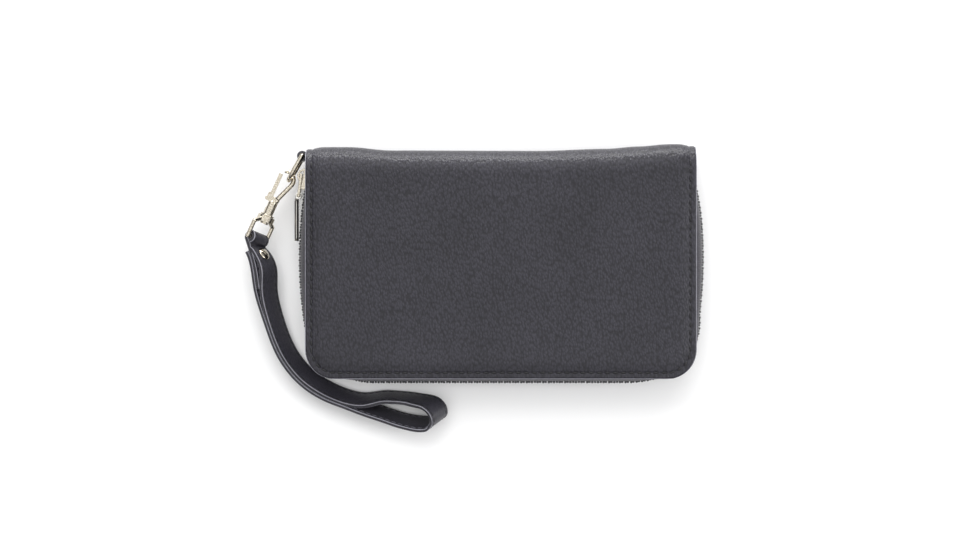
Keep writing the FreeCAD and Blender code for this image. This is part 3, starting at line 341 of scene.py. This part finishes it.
def makeStudio(s):
    scene = bpy.context.scene
    camera = bpy.data.objects.new("camera", bpy.data.cameras.new("camera"))
    camera.data.lens = s["lens"]
    camera.data.clip_end = s["reach"]
    camera.location = Vector(s["eye"]) * mm
    scene.collection.objects.link(camera)
    scene.camera = camera
    bm = bmesh.new()
    bmesh.ops.create_grid(bm, x_segments=1, y_segments=1, size=s["floor"] / 2)
    for vert in bm.verts:
        vert.co.z = -s["floorDrop"]
    mat, tree, shader = newMaterial("pale paper floor")
    shader.inputs["Base Color"].default_value = srgb(s["floorTone"])
    shader.inputs["Roughness"].default_value = 0.9
    finish(bm, "floor", [mat], False)
    for name, place, extent, power in s["lights"]:
        data = bpy.data.lights.new(name, "AREA")
        data.shape = "RECTANGLE"
        data.size, data.size_y = extent
        data.energy = power
        lamp = bpy.data.objects.new(name, data)
        lamp.location = place
        lamp.rotation_euler = (-Vector(place)).to_track_quat("-Z", "Y").to_euler()
        scene.collection.objects.link(lamp)
    world = bpy.data.worlds.new("studio")
    scene.world = world
    world.use_nodes = True
    tree = world.node_tree
    tree.nodes.clear()
    where = addNode(tree, "ShaderNodeTexCoord")
    split = addNode(tree, "ShaderNodeSeparateXYZ", {0: (where, "Generated")})
    # bright overhead and darker towards the horizon, which gives the metal something to mirror
    (low, dim), (high, bright) = s["horizon"], s["overhead"]
    tone = ramp(tree, (split, "Z"), low, high, dim, bright)
    sky = addNode(tree, "ShaderNodeBackground", {0: (tone, 0), "Strength": s["sky"]})
    addNode(tree, "ShaderNodeOutputWorld", {0: (sky, 0)})
    scene.view_settings.view_transform = "Standard"


makeStudio(studio)
print("studio made")


# cover skin: one leather wrap round back, spine and front

skin = {
    "seamCells": 26, "across": 70, "flat": 40, "bend": 56, "edgeBand": 7 * mm,
    "corner": 14 * mm, "thick": 1.2 * mm, "seam": 3.0 * mm, "seamWidth": 0.5 * mm,
    "sink": 0.3 * mm, "puff": 1.0 * mm, "border": 0.35 * mm, "square": 0.8,
    "puffFrom": 1.5 * mm, "puffTo": 5 * mm, "edge": 0.2 * mm, "waveFrom": 12 * mm, "restGap": 0.02 * mm,
    "borderSoft": 0.6 * mm, "borderWide": 0.9 * mm, "settle": 0.7, "backShare": 0.3, "waveShare": (0.4, 0.6),
    "turnLow": 2 * mm, "turnHigh": 3 * mm,
    # the spine's wave, in mm: (along, outwards)
    "wave": [(-92, 0.2), (-72, 0.2), (-52, -1.4), (18, -1.6), (50, -0.6), (65, 0.5), (80, 1.6), (92, 1.7)],
}


def waveAt(x):
    points = skin["wave"]
    for (x0, y0), (x1, y1) in zip(points, points[1:]):
        if x / mm <= x1:
            return (y0 + (y1 - y0) * smoothStep(x0, x1, x / mm)) * mm
    return points[-1][1] * mm


def halfWidthAt(fromMouth):
    r = skin["corner"]
    if fromMouth >= r:
        return halfWidth
    return halfWidth - r + math.sqrt(max(r * r - (r - fromMouth) ** 2, 0.0))


def edgeDistance(x, y):
    # how far a point of the cover lies inside its edge on the mouth side and the two ends
    r = skin["corner"]
    a, d = halfWidth - abs(x), y - mouthY
    if a < r and d < r:
        return r - math.hypot(r - a, r - d)
    return min(a, d)


def skinLift(x, y, bend):
    # border lies low, dips at the stitches and puffs up inside them
    inside = min(edgeDistance(x, y), halfWidth - abs(x)) if bend else edgeDistance(x, y)
    seam = skin["seam"]
    lift = -skin["border"] * smoothStep(0, skin["borderSoft"], skin["borderWide"] - inside)
    lift -= skin["sink"] * math.exp(-((inside - seam) / skin["seamWidth"]) ** 2)
    lift += skin["puff"] * smoothStep(seam - skin["puffFrom"], seam + skin["puffTo"], inside)
    return lift - skin["puff"] * skin["settle"]


def coverSkin():
    s = skin
    flat = spineY - mouthY
    radius = apexY - spineY
    bend = math.pi * radius
    total = 2 * flat + bend
    band, cells = s["edgeBand"], s["seamCells"]
    share = 1 - band / halfWidth
    columns = np.concatenate([np.linspace(-1, -share, cells), np.linspace(-share, share, s["across"])[1:-1],
                              np.linspace(share, 1, cells)])
    half = np.concatenate([np.linspace(0, band, cells), np.linspace(band, flat, s["flat"])[1:]])
    rows = np.concatenate([half, np.linspace(flat, flat + bend, s["bend"])[1:-1], total - half[::-1]])
    bm = bmesh.new()
    bmesh.ops.create_grid(bm, x_segments=len(columns) - 1, y_segments=len(rows) - 1, size=1.0)
    for vert in bm.verts:
        u = columns[round((vert.co.x + 1) / 2 * (len(columns) - 1))]
        v = rows[round((vert.co.y + 1) / 2 * (len(rows) - 1))]
        if v < flat:
            y, z, normal, angle = mouthY + v, 0.0, Vector((0, 0, -1)), None
        elif v > flat + bend:
            y, z, normal, angle = mouthY + total - v, frontZ, Vector((0, 0, 1)), None
        else:
            # the bend is squarer than a half circle, as the boards hold the covers flat close to it
            angle = (v - flat) / radius - math.pi / 2
            normal = Vector((0, math.cos(angle), math.sin(angle)))
            y = spineY + radius * abs(normal.y) ** s["square"]
            z = midZ + math.copysign(radius * abs(normal.z) ** s["square"], normal.z)
        x = u * halfWidthAt(y - mouthY)
        lift = skinLift(x, y, angle is not None)
        if z < midZ / 2 and angle is None:
            lift = min(lift, 0.0) * s["backShare"]  # the back lies flat on the table
        spot = Vector((x, y, z)) + normal * lift
        near = 1.0 if angle is not None and z > midZ / 3 else 0.0
        bulge = smoothStep(spineY - s["waveFrom"], apexY, y) * smoothStep(0, midZ, z)
        always, nearer = s["waveShare"]
        spot.y += waveAt(x) * bulge * (always + nearer * near)
        spot.z = max(spot.z, s["restGap"])
        vert.co = spot
    bmesh.ops.recalc_face_normals(bm, faces=bm.faces)
    probe = max(bm.faces, key=lambda f: f.calc_center_median().z)
    if probe.normal.z < 0:
        bmesh.ops.reverse_faces(bm, faces=bm.faces)
    for face in bm.faces:
        if any(vert.is_boundary for vert in face.verts):
            face.material_index = 1  # painted highlight: a pale line along the cut edge
    obj = finish(bm, "cover_skin", [coverLeather, edgeCornerHighlight, splitLeather])
    wall = obj.modifiers.new("leather thickness", "SOLIDIFY")
    wall.thickness = s["thick"]
    wall.offset = -1
    wall.material_offset = 2
    # the rim takes the same pale line: a painted highlight along the cover's cut edge
    wall.material_offset_rim = 1
    soft = obj.modifiers.new("softened edge", "BEVEL")
    soft.width = s["edge"]
    soft.segments = 2
    soft.limit_method = "ANGLE"
    soft.angle_limit = math.radians(50)
    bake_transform(obj)
    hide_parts("back_cover", "front_cover", "spine_back", "spine_front")
    return obj


coverSkin()
print("cover skin made")


# stitches

def stitchRow(bm, path, stitch):
    # short sunk capsules along a list of (spot, outward direction)
    lengths = [0.0]
    for (a, _), (b, _) in zip(path, path[1:]):
        lengths.append(lengths[-1] + (b - a).length)
    count = int(lengths[-1] / stitch["pitch"])
    for number in range(count):
        middle = (number + 0.5) * stitch["pitch"]
        index = max(i for i, at in enumerate(lengths[:-1]) if at <= middle)
        (a, outA), (b, outB) = path[index], path[index + 1]
        share = (middle - lengths[index]) / max(lengths[index + 1] - lengths[index], 1e-9)
        spot = a.lerp(b, share)
        along = (b - a).normalized()
        out = outA.lerp(outB, share).normalized()
        side = out.cross(along).normalized()
        turn = Matrix((along, side, out)).transposed().to_4x4()
        size = Matrix.Diagonal((stitch["length"] / 2, stitch["radius"], stitch["radius"] * 0.8, 1))
        lying = Matrix.Rotation(math.pi / 2, 4, "Y")
        bmesh.ops.create_uvsphere(bm, u_segments=8, v_segments=6, radius=1.0,
                                  matrix=Matrix.Translation(spot) @ turn @ size @ lying)


coverStitch = {
    "pitch": 3.8 * mm, "length": 2.7 * mm, "radius": 0.46 * mm, "proud": 0.22 * mm, "backSink": 0.06 * mm,
    "overSpine": 6 * mm, "lowest": 0.2 * mm,
}


def coverStitchPath(side):
    # down one end, round the mouth corners and up the other end
    inset, r = skin["seam"], skin["corner"] - skin["seam"]
    a, d = halfWidth - inset, mouthY + inset
    z = frontZ if side > 0 else 0.0
    top = spineY + coverStitch["overSpine"]
    spots = [Vector((-a, y, 0)) for y in np.linspace(top, d + r, 40)]
    spots += [Vector((r - a + r * math.cos(t), d + r + r * math.sin(t), 0))
              for t in np.linspace(math.pi, 1.5 * math.pi, 10)[1:]]
    spots += [Vector((x, d, 0)) for x in np.linspace(r - a, a - r, 60)[1:]]
    spots += [Vector((a - r + r * math.cos(t), d + r + r * math.sin(t), 0))
              for t in np.linspace(-math.pi / 2, 0, 10)[1:]]
    spots += [Vector((a, y, 0)) for y in np.linspace(d + r, top, 40)[1:]]
    path = []
    radius = apexY - spineY
    for spot in spots:
        over = (max(spot.y - spineY, 0.0) / radius) ** (1 / skin["square"])
        drop = radius * (1 - (1 - over**2) ** (skin["square"] / 2))
        out = Vector((0, over, side * math.sqrt(1 - over**2)))
        lift = skinLift(spot.x, spot.y, over > 0) if side > 0 else -coverStitch["backSink"]
        place = Vector((spot.x, spot.y, z - side * drop)) + out * (lift + coverStitch["proud"])
        if side > 0:
            place.y += waveAt(spot.x) * smoothStep(spineY - skin["waveFrom"], apexY, spot.y)
        place.z = max(place.z, coverStitch["lowest"])
        path.append((place, out))
    return path


for side, body, node in ((1, "front_half", "front"), (-1, "back_half", "back")):
    bm = bmesh.new()
    stitchRow(bm, coverStitchPath(side), coverStitch)
    row = finish(bm, "cover_stitches_" + node, [waxedThread])
    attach(row, body)
print("cover stitches made")


# zip: tapes, teeth

zipLine = {
    "sideRadius": 206.0 * mm, "cornerRadius": 32.0 * mm, "bulge": 2.5 * mm, "mouthBulge": 1.1 * mm,
    "sideCentre": 2.5 * mm, "share": (26, 22, 60, 22, 26), "slack": 0.5 * mm, "cornerSlack": 1.6 * mm,
    "tapeCut": (10 * mm, 345 * mm), "tapeRows": 12, "tapeThick": 0.6 * mm, "seamInset": 0.7 * mm,
    "slackSide": (20 * mm, 38 * mm), "slackCorner": (-38 * mm, -20 * mm), "slackAcross": (62 * mm, 84 * mm),
    "dense": (300, 300, 500, 300, 300), "firstTooth": 0.8 * mm, "bareEnd": 5 * mm,
    "slackDown": 0.4, "mouthBand": -40 * mm, "rise": 0.25,
}
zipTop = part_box("zip_tape_back")[1].y
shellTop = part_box("zip_tape_back")[0].z
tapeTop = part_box("zip_tape_back")[1].z


def arcSpots(cx, cy, radius, start, end, count):
    return [Vector((cx + radius * math.cos(t), cy + radius * math.sin(t), 0))
            for t in np.linspace(start, end, count + 1)]


def joinSpots(groups):
    spots = list(groups[0])
    for group in groups[1:]:
        spots += group[1:]
    return spots


def chainSpots(share=None):
    z = zipLine
    n = share or z["share"]
    centreX = -(halfWidth + z["bulge"]) + z["sideRadius"]
    cornerY = mouthY - z["mouthBulge"] + z["cornerRadius"]
    reach = z["sideRadius"] - z["cornerRadius"]
    drop = z["sideCentre"] - cornerY
    cornerX = centreX - math.sqrt(reach**2 - drop**2)
    joint = math.pi + math.asin(drop / reach)
    start = math.pi - math.asin((zipTop - z["sideCentre"]) / z["sideRadius"])
    left = [arcSpots(centreX, z["sideCentre"], z["sideRadius"], start, joint, n[0]),
            arcSpots(cornerX, cornerY, z["cornerRadius"], joint, 1.5 * math.pi, n[1])]
    low = mouthY - z["mouthBulge"]
    line = [Vector((x, low, 0)) for x in np.linspace(cornerX, -cornerX, n[2] + 1)]
    right = [[Vector((-p.x, p.y, 0)) for p in reversed(group)] for group in reversed(left)]
    return [slackened(spot) for spot in joinSpots(left + [line] + right)]


def slackened(spot):
    # on the side that the slider never reaches, the tape bellies out above the mouth corner
    if spot.x < 0:
        return spot
    out = zipLine["slack"] * (1 - smoothStep(*zipLine["slackSide"], spot.y))
    out += zipLine["cornerSlack"] * (1 - smoothStep(*zipLine["slackCorner"], spot.y))
    out *= smoothStep(*zipLine["slackAcross"], abs(spot.x))
    down = out * zipLine["slackDown"] if spot.y < zipLine["mouthBand"] else 0.0
    return spot + Vector((math.copysign(out, spot.x), -down, 0))


def seamSpots():
    n = zipLine["share"]
    a, d, r = halfWidth - zipLine["seamInset"], mouthY + zipLine["seamInset"], skin["corner"]
    left = [[Vector((-a, y, 0)) for y in np.linspace(zipTop, d + r, n[0] + 1)],
            arcSpots(r - a, d + r, r, math.pi, 1.5 * math.pi, n[1])]
    line = [Vector((x, d, 0)) for x in np.linspace(r - a, a - r, n[2] + 1)]
    right = [[Vector((-p.x, p.y, 0)) for p in reversed(group)] for group in reversed(left)]
    return joinSpots(left + [line] + right)


def zipTape(half, body):
    chain, seam = chainSpots(), seamSpots()
    bm = bmesh.new()
    bmesh.ops.create_grid(bm, x_segments=len(chain) - 1, y_segments=zipLine["tapeRows"], size=1.0)
    for vert in bm.verts:
        along = round((vert.co.x + 1) / 2 * (len(chain) - 1))
        t = (vert.co.y + 1) / 2
        spot = seam[along].lerp(chain[along], math.sin(t * math.pi / 2))
        rise = zipLine["rise"]
        share = rise * t + (1 - rise) * (1 - math.cos(t * math.pi / 2))
        height = shellTop + (tapeTop - shellTop) * share
        spot.z = height if half == "back" else frontZ - height
        vert.co = spot
    bmesh.ops.recalc_face_normals(bm, faces=bm.faces)
    obj = finish(bm, "zip_tape_cloth_" + half, [tapeCloth])
    wall = obj.modifiers.new("cloth thickness", "SOLIDIFY")
    wall.thickness = zipLine["tapeThick"]
    wall.offset = 0
    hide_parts("zip_tape_" + half)
    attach(obj, body)


tooth = {
    "pitch": 2.6 * mm, "wide": 1.15 * mm, "head": 0.95 * mm, "deep": 2.5 * mm, "low": 2.0 * mm, "over": 0.4 * mm,
    "bodyTop": 0.9 * mm, "headFoot": 0.95 * mm, "headShare": 0.78, "edge": 0.3 * mm,
}
sliderY = ((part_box("zip_slider")[0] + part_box("zip_slider")[1]) / 2).y


def toothTemplate():
    # a clamped body on the tape, a waist and a head that reaches past the middle
    bm = bmesh.new()
    t = tooth
    for low, high, wide, deep in ((-t["low"], -t["bodyTop"], t["wide"], t["deep"]),
                                  (-t["headFoot"], t["over"], t["head"], t["deep"] * t["headShare"])):
        made = bmesh.ops.create_cube(bm, size=1.0)
        size = Matrix.Diagonal((wide, deep, high - low, 1))
        bmesh.ops.transform(bm, matrix=Matrix.Translation((0, 0, (low + high) / 2)) @ size, verts=made["verts"])
        edges = list({e for v in made["verts"] for e in v.link_edges})
        bmesh.ops.bevel(bm, geom=edges, offset=t["edge"], segments=1, profile=0.5, affect="EDGES", material=-1)
    mesh = bpy.data.meshes.new("tooth")
    bm.to_mesh(mesh)
    bm.free()
    return mesh


def zipTeeth(half, body, shift, template):
    dense = chainSpots(zipLine["dense"])
    bm = bmesh.new()
    wanted = (zipTop - sliderY) + zipLine["firstTooth"] + shift * tooth["pitch"]
    travelled = 0.0
    ends = sum((b - a).length for a, b in zip(dense, dense[1:])) - zipLine["bareEnd"]
    flip = Matrix.Rotation(math.pi, 4, "X") if half == "front" else Matrix.Identity(4)
    for a, b in zip(dense, dense[1:]):
        step = (b - a).length
        if wanted <= travelled + step and wanted < ends:
            before = len(bm.verts)
            bm.from_mesh(template)
            bm.verts.ensure_lookup_table()
            turn = Matrix.Rotation(math.atan2(b.y - a.y, b.x - a.x), 4, "Z")
            spot = Vector((a.x, a.y, midZ))
            bmesh.ops.transform(bm, matrix=Matrix.Translation(spot) @ turn @ flip, verts=bm.verts[before:])
            wanted += tooth["pitch"]
        travelled += step
    obj = finish(bm, "zip_teeth_row_" + half, [toothResin], False)
    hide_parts("zip_teeth_" + half)
    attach(obj, body)


template = toothTemplate()
for half, body, shift in (("back", "back_half", 0.0), ("front", "front_half", 0.5)):
    zipTape(half, body)
    zipTeeth(half, body, shift, template)
print("zip made")


# wrist strap

# in mm; a station is (along from the wallet's left edge, share of the way up to the bar, rise, direction across)
strap = {
    "width": 12.0, "thick": 1.8, "gap": 0.12, "table": 0.05, "wire": 1.0, "clearance": 0.24, "lie": 0.2,
    "step": 1.6, "pinch": 0.95, "tail": (3.2, 0.9), "stitchIn": 1.5, "stitchSink": 0.06,
    "crease": 0.1, "crown": (0.04, 0.06), "round": 0.3,
    "doubled": [
        (-22.6, 0.88, 0.95, (0.53, 0.02, -0.85)), (-19.7, 0.65, 0.70, (0.56, 0.05, -0.83)),
        (-16.1, 0.42, 0.42, (0.54, 0.15, -0.83)), (-10.3, 0.19, 0.16, (0.48, 0.30, -0.82)),
        (-1.6, 0.015, 0.03, (0.36, 0.45, -0.82)), (10.3, -0.105, 0.02, (0.22, 0.53, -0.82)),
        (18.6, -0.155, 0.02, (0.15, 0.53, -0.83)),
    ],
    "handLoop": [
        (27.5, -0.162, 0.01, (0.12, 0.48, -0.87)), (36.3, -0.141, 0.02, (0.16, 0.40, -0.89)),
        (42.0, -0.143, 0.05, (0.22, 0.37, -0.89)), (47.7, -0.150, 0.16, (0.32, 0.37, -0.86)),
        (53.5, -0.165, 0.42, (0.46, 0.40, -0.78)), (59.0, -0.188, 0.76, (0.60, 0.42, -0.68)),
        (61.8, -0.232, 0.86, (0.62, 0.42, -0.66)), (62.5, -0.286, 0.65, (0.62, 0.42, -0.66)),
        (60.9, -0.319, 0.27, (0.61, 0.42, -0.67)), (57.8, -0.331, 0.04, (0.56, 0.43, -0.71)),
        (53.5, -0.334, 0.01, (0.46, 0.44, -0.77)), (47.7, -0.320, 0.01, (0.32, 0.45, -0.83)),
        (42.0, -0.296, 0.01, (0.22, 0.47, -0.85)), (36.3, -0.266, 0.01, (0.16, 0.49, -0.86)),
        (27.5, -0.221, 0.01, (0.12, 0.51, -0.85)),
    ],
}
barSpot = Vector(joints["strap_swing"]["pos_m"]) / mm
barLine = Vector(joints["strap_swing"]["axis"]).normalized()
shankLine = Vector(joints["swivel_turn"]["axis"]).normalized()


def strapStation(x, share, rise, lean):
    width = Vector(lean).normalized()
    rest = -width.z * strap["width"] / 2 + math.sqrt(1 - width.z**2) * strap["thick"] / 2 + strap["lie"]
    low, mid = mouthY / mm, midZ / mm
    return Vector((-halfWidth / mm + x, low + share * (barSpot.y - low), rest + rise * (mid - rest))), width


def strapRoute():
    # tail, turn over the swivel's bar, front run, hand loop, back run
    doubled = [strapStation(*row) for row in strap["doubled"]]
    pitch = strap["thick"] + strap["gap"]
    barLean, away = -barLine, -shankLine
    outward = away.cross(barLean).normalized()

    def shifted(index, offset):
        spot, lean = doubled[index]
        before = doubled[index - 1][0] if index else barSpot
        after = doubled[index + 1][0] if index + 1 < len(doubled) else strapStation(*strap["handLoop"][0])[0]
        return spot + (after - before).cross(lean).normalized() * offset, lean

    wrap = strap["wire"] + strap["clearance"] + strap["thick"] / 2
    route = [shifted(1, 0), shifted(0, 0)]
    for angle in range(-150, 151, 30):
        turn = math.radians(angle)
        route.append((barSpot + (outward * math.sin(turn) - away * math.cos(turn)) * wrap, barLean))
    route += [shifted(0, pitch), shifted(1, pitch * strap["pinch"])]
    route += [shifted(index, pitch / 2) for index in range(2, len(doubled))]
    route += [strapStation(*row) for row in strap["handLoop"]]
    route += [shifted(index, -pitch / 2) for index in range(len(doubled) - 1, 1, -1)]
    route += [shifted(1, -pitch), shifted(0, -pitch)]
    onward = (route[-1][0] - route[-2][0]).normalized()
    side = onward.cross(route[-1][1]).normalized()
    reach, lift = strap["tail"]
    route.append((route[-1][0] + onward * reach + side * lift, route[-1][1]))
    return route


def smoothCurve(points):
    # natural cubic spline through the points: its knots and second derivatives
    spots = np.array([list(p) for p in points])
    knots = np.concatenate([[0], np.cumsum(np.linalg.norm(np.diff(spots, axis=0), axis=1))])
    gaps = np.diff(knots)
    size = len(points)
    system, right = np.eye(size), np.zeros((size, 3))
    for i in range(1, size - 1):
        system[i, i - 1:i + 2] = gaps[i - 1], 2 * (gaps[i - 1] + gaps[i]), gaps[i]
        right[i] = 6 * ((spots[i + 1] - spots[i]) / gaps[i] - (spots[i] - spots[i - 1]) / gaps[i - 1])
    return spots, knots, gaps, np.linalg.solve(system, right)


def strapFrames(step):
    route = strapRoute()
    spots, knots, gaps, bends = smoothCurve([spot for spot, lean in route])
    frames = []
    for span in range(len(gaps)):
        steps = max(3, round(gaps[span] / step))
        gap = gaps[span]
        for index in range(steps + (1 if span == len(gaps) - 1 else 0)):
            part = index / steps
            b, a = part, 1 - part
            place = (a * spots[span] + b * spots[span + 1]
                     + ((a**3 - a) * bends[span] + (b**3 - b) * bends[span + 1]) * gap**2 / 6)
            slope = ((spots[span + 1] - spots[span]) / gap
                     + ((1 - 3 * a**2) * bends[span] + (3 * b**2 - 1) * bends[span + 1]) * gap / 6)
            spot, along = Vector(place), Vector(slope).normalized()
            lean = route[span][1].lerp(route[span + 1][1], part)
            lean = (lean - along * lean.dot(along)).normalized()
            face = along.cross(lean)
            lowest = spot.z - abs(lean.z) * strap["width"] / 2 - abs(face.z) * strap["thick"] / 2
            spot.z += max(0.0, strap["table"] - lowest)
            frames.append((spot, lean, face))
    return frames


def strapProfile():
    # (across, through, material): rounded painted edges, a pressed line beside each row of stitches
    w, t = strap["width"] / 2, strap["thick"] / 2
    line, dip = w - strap["stitchIn"], strap["crease"]
    shoulder, crown = strap["crown"]
    outer = [(-w + strap["round"], t), (-line - 0.5, t), (-line, t - dip), (-line + 0.5, t),
             (-w * 0.4, t + shoulder), (0, t + crown)]
    outer += [(-x, z) for x, z in reversed(outer[:-1])]
    edge = [(w - 0.08, t - 0.3), (w, 0.12), (w - 0.1, 0.03), (w, -0.08), (w - 0.08, 0.3 - t)]
    inner = [(-x, -z if abs(x) > w * 0.5 else -t) for x, z in outer]
    rim = [(-x, -z) for x, z in edge]
    return outer, edge, inner, rim


strapStitch = {"pitch": 3.2 * mm, "length": 2.4 * mm, "radius": 0.26 * mm}


def strapBody():
    frames = strapFrames(strap["step"])
    outer, edge, inner, rim = strapProfile()
    profile = outer + edge + inner + rim
    # painted highlight: the corner faces of each edge take material 3, a pale line on each corner
    side = [3] + [1] * (len(edge) - 1) + [3]
    kinds = [0] * (len(outer) - 1) + side + [2] * (len(inner) - 1) + side
    count = len(profile)
    bm = bmesh.new()
    bmesh.ops.create_grid(bm, x_segments=len(frames) - 1, y_segments=count, size=1.0)
    for face in bm.faces:
        face.material_index = kinds[int((face.calc_center_median().y + 1) / 2 * count)]
    for vert in bm.verts:
        index = round((vert.co.x + 1) / 2 * (len(frames) - 1))
        spot, lean, face = frames[index]
        across, through = profile[round((vert.co.y + 1) / 2 * count) % count]
        vert.co = (spot + lean * across + face * through) * mm
    bmesh.ops.remove_doubles(bm, verts=bm.verts, dist=0.001 * mm)
    caps = bmesh.ops.holes_fill(bm, edges=bm.edges, sides=0)
    for face in caps["faces"]:
        face.material_index = 1
    bmesh.ops.recalc_face_normals(bm, faces=bm.faces)
    obj = finish(bm, "wrist_strap", [strapLeather, paintedEdge, splitLeather, edgeCornerHighlight])
    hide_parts("strap_outer", "strap_backing")
    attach(obj, "strap")
    half = strap["thick"] / 2
    for through, name, thread in ((1, "strap_stitches_outer", waxedThread),
                                  (-1, "strap_stitches_inner", backThread)):
        stitches = bmesh.new()
        for across in (-1, 1):
            inset, depth = strap["width"] / 2 - strap["stitchIn"], half - strap["stitchSink"]
            path = [((spot + lean * across * inset + face * through * depth) * mm, face * through)
                    for spot, lean, face in frames]
            stitchRow(stitches, path, strapStitch)
        row = finish(stitches, name, [thread])
        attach(row, "strap")


strapBody()
print("strap made")


# pieces whose shape is the frame's own, smoothed and with softened edges

softEdge = {"merge": 0.002 * mm, "flatWithin": math.radians(1.0), "angle": math.radians(35)}


def softenedCopy(name, node, mat, width):
    source = frame["nodes"][node]
    bm = bmesh.new()
    bm.from_mesh(source.data)
    bmesh.ops.remove_doubles(bm, verts=bm.verts, dist=softEdge["merge"])
    bmesh.ops.dissolve_limit(bm, angle_limit=softEdge["flatWithin"], verts=bm.verts, edges=bm.edges)
    obj = finish(bm, name, [mat])
    if width:
        soft = obj.modifiers.new("softened edges", "BEVEL")
        soft.width = width
        soft.segments = 2
        soft.limit_method = "ANGLE"
        soft.angle_limit = softEdge["angle"]
        soft.harden_normals = True
    weighted = obj.modifiers.new("even shading", "WEIGHTED_NORMAL")
    weighted.keep_sharp = True
    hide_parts(node)
    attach(obj, source["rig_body"])
    return obj


# piece, the node it stands for, its metal, edge width in mm
hardware = [
    ("snap_hook_polished", "snap_hook", nickelPlate, 0.12), ("snap_gate_polished", "snap_gate", nickelPlate, 0.2),
    ("swivel_frame", "swivel_ring", nickelPlate, 0.12), ("dee_ring", "d_ring", nickelPlate, 0.0),
    ("slider_body", "zip_slider", nickelPlate, 0.15), ("pull_wire_link", "zip_pull_link", nickelPlate, 0.25),
    ("pull_bar_plate", "zip_pull_bar", satinNickel, 0.0), ("rivet_cap", "strap_rivet_cap", nickelPlate, 0.12),
    ("rivet_washer", "strap_rivet_back", nickelPlate, 0.12),
    ("coin_slider_body", "coin_zip_slider", nickelPlate, 0.1),
    ("coin_pull_ring", "coin_zip_pull", nickelPlate, 0.2), ("end_stop", "zip_stop", nickelPlate, 0.15),
]
for name, node, mat, width in hardware:
    softenedCopy(name, node, mat, width * mm)
softenedCopy("ring_tab_leather", "ring_tab", strapLeather, 0.25 * mm)
for half in ("back", "front"):
    for step in range(1, 5):
        softenedCopy(f"{half}_slot_strip_{step}", f"{half}_card_slot_{step}", slotLeather, 0.1 * mm)
    softenedCopy(f"{half}_pocket_cloth", f"{half}_slip_pocket", liningCloth, 0.08 * mm)
    softenedCopy(f"{half}_lining_cloth", f"{half}_lining", liningCloth, 0.1 * mm)
for node in ("coin_pocket_back", "coin_pocket_front", "coin_pocket_edge"):
    softenedCopy(node + "_cloth", node, liningCloth, 0.1 * mm)
softenedCopy("coin_tape_cloth", "coin_zip_tape", tapeCloth, 0.1 * mm)
for node, mat in (("coin_zip_teeth", nickelPlate), ("gate_pin", nickelPlate), ("swivel_rivet_head", nickelPlate),
                  ("back_stiffener", fibreBoard), ("front_stiffener", fibreBoard)):
    data = frame["nodes"][node].data
    data.materials.clear()
    data.materials.append(mat)
print("fittings and inside made")


# pleated sides; the profile is (how far folded in, share of the height)
gusset = {
    "cloth": 0.4 * mm, "wave": 0.25 * mm, "waveLength": 21 * mm, "waveSlant": 180, "cutWidth": 28 * mm,
    "columns": 60, "rows": 48, "round": 1.1 * mm,
    "profile": [(0, 0), (0, 0.15), (1, 0.25), (0.7, 0.5), (1, 0.75), (0, 0.85), (0, 1)],
}


def foldAt(rise):
    # how far in the pleat lies at this height, its folds rounded as cloth folds are
    near = np.linspace(rise - gusset["round"], rise + gusset["round"], 9)
    spots = [share for fold, share in gusset["profile"]]
    folds = [fold for fold, share in gusset["profile"]]
    return float(np.mean(np.interp(near / gusset["height"], spots, folds)))


def gussetCloth(side, node):
    low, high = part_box(node)
    gusset["height"] = high.z - low.z
    outer = low.x if side < 0 else high.x
    deep = (high.x - low.x - gusset["cloth"]) * -side
    bm = bmesh.new()
    bmesh.ops.create_grid(bm, x_segments=gusset["columns"], y_segments=gusset["rows"], size=1.0)
    for vert in bm.verts:
        along, rise = (vert.co.x + 1) / 2, (vert.co.y + 1) / 2 * gusset["height"]
        fold = foldAt(rise)
        y = low.y + along * (high.y - low.y)
        phase = y / gusset["waveLength"] * 2 * math.pi + rise * gusset["waveSlant"]
        wave = gusset["wave"] * math.sin(phase) * fold
        vert.co = (outer - side * gusset["cloth"] / 2 + deep * fold + wave, y, low.z + rise)
    bmesh.ops.recalc_face_normals(bm, faces=bm.faces)
    obj = finish(bm, node + "_cloth", [liningCloth])
    wall = obj.modifiers.new("cloth thickness", "SOLIDIFY")
    wall.thickness = gusset["cloth"]
    wall.offset = 0
    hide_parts(node)
    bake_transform(obj)


gussetCloth(-1, "gusset_left")
gussetCloth(1, "gusset_right")
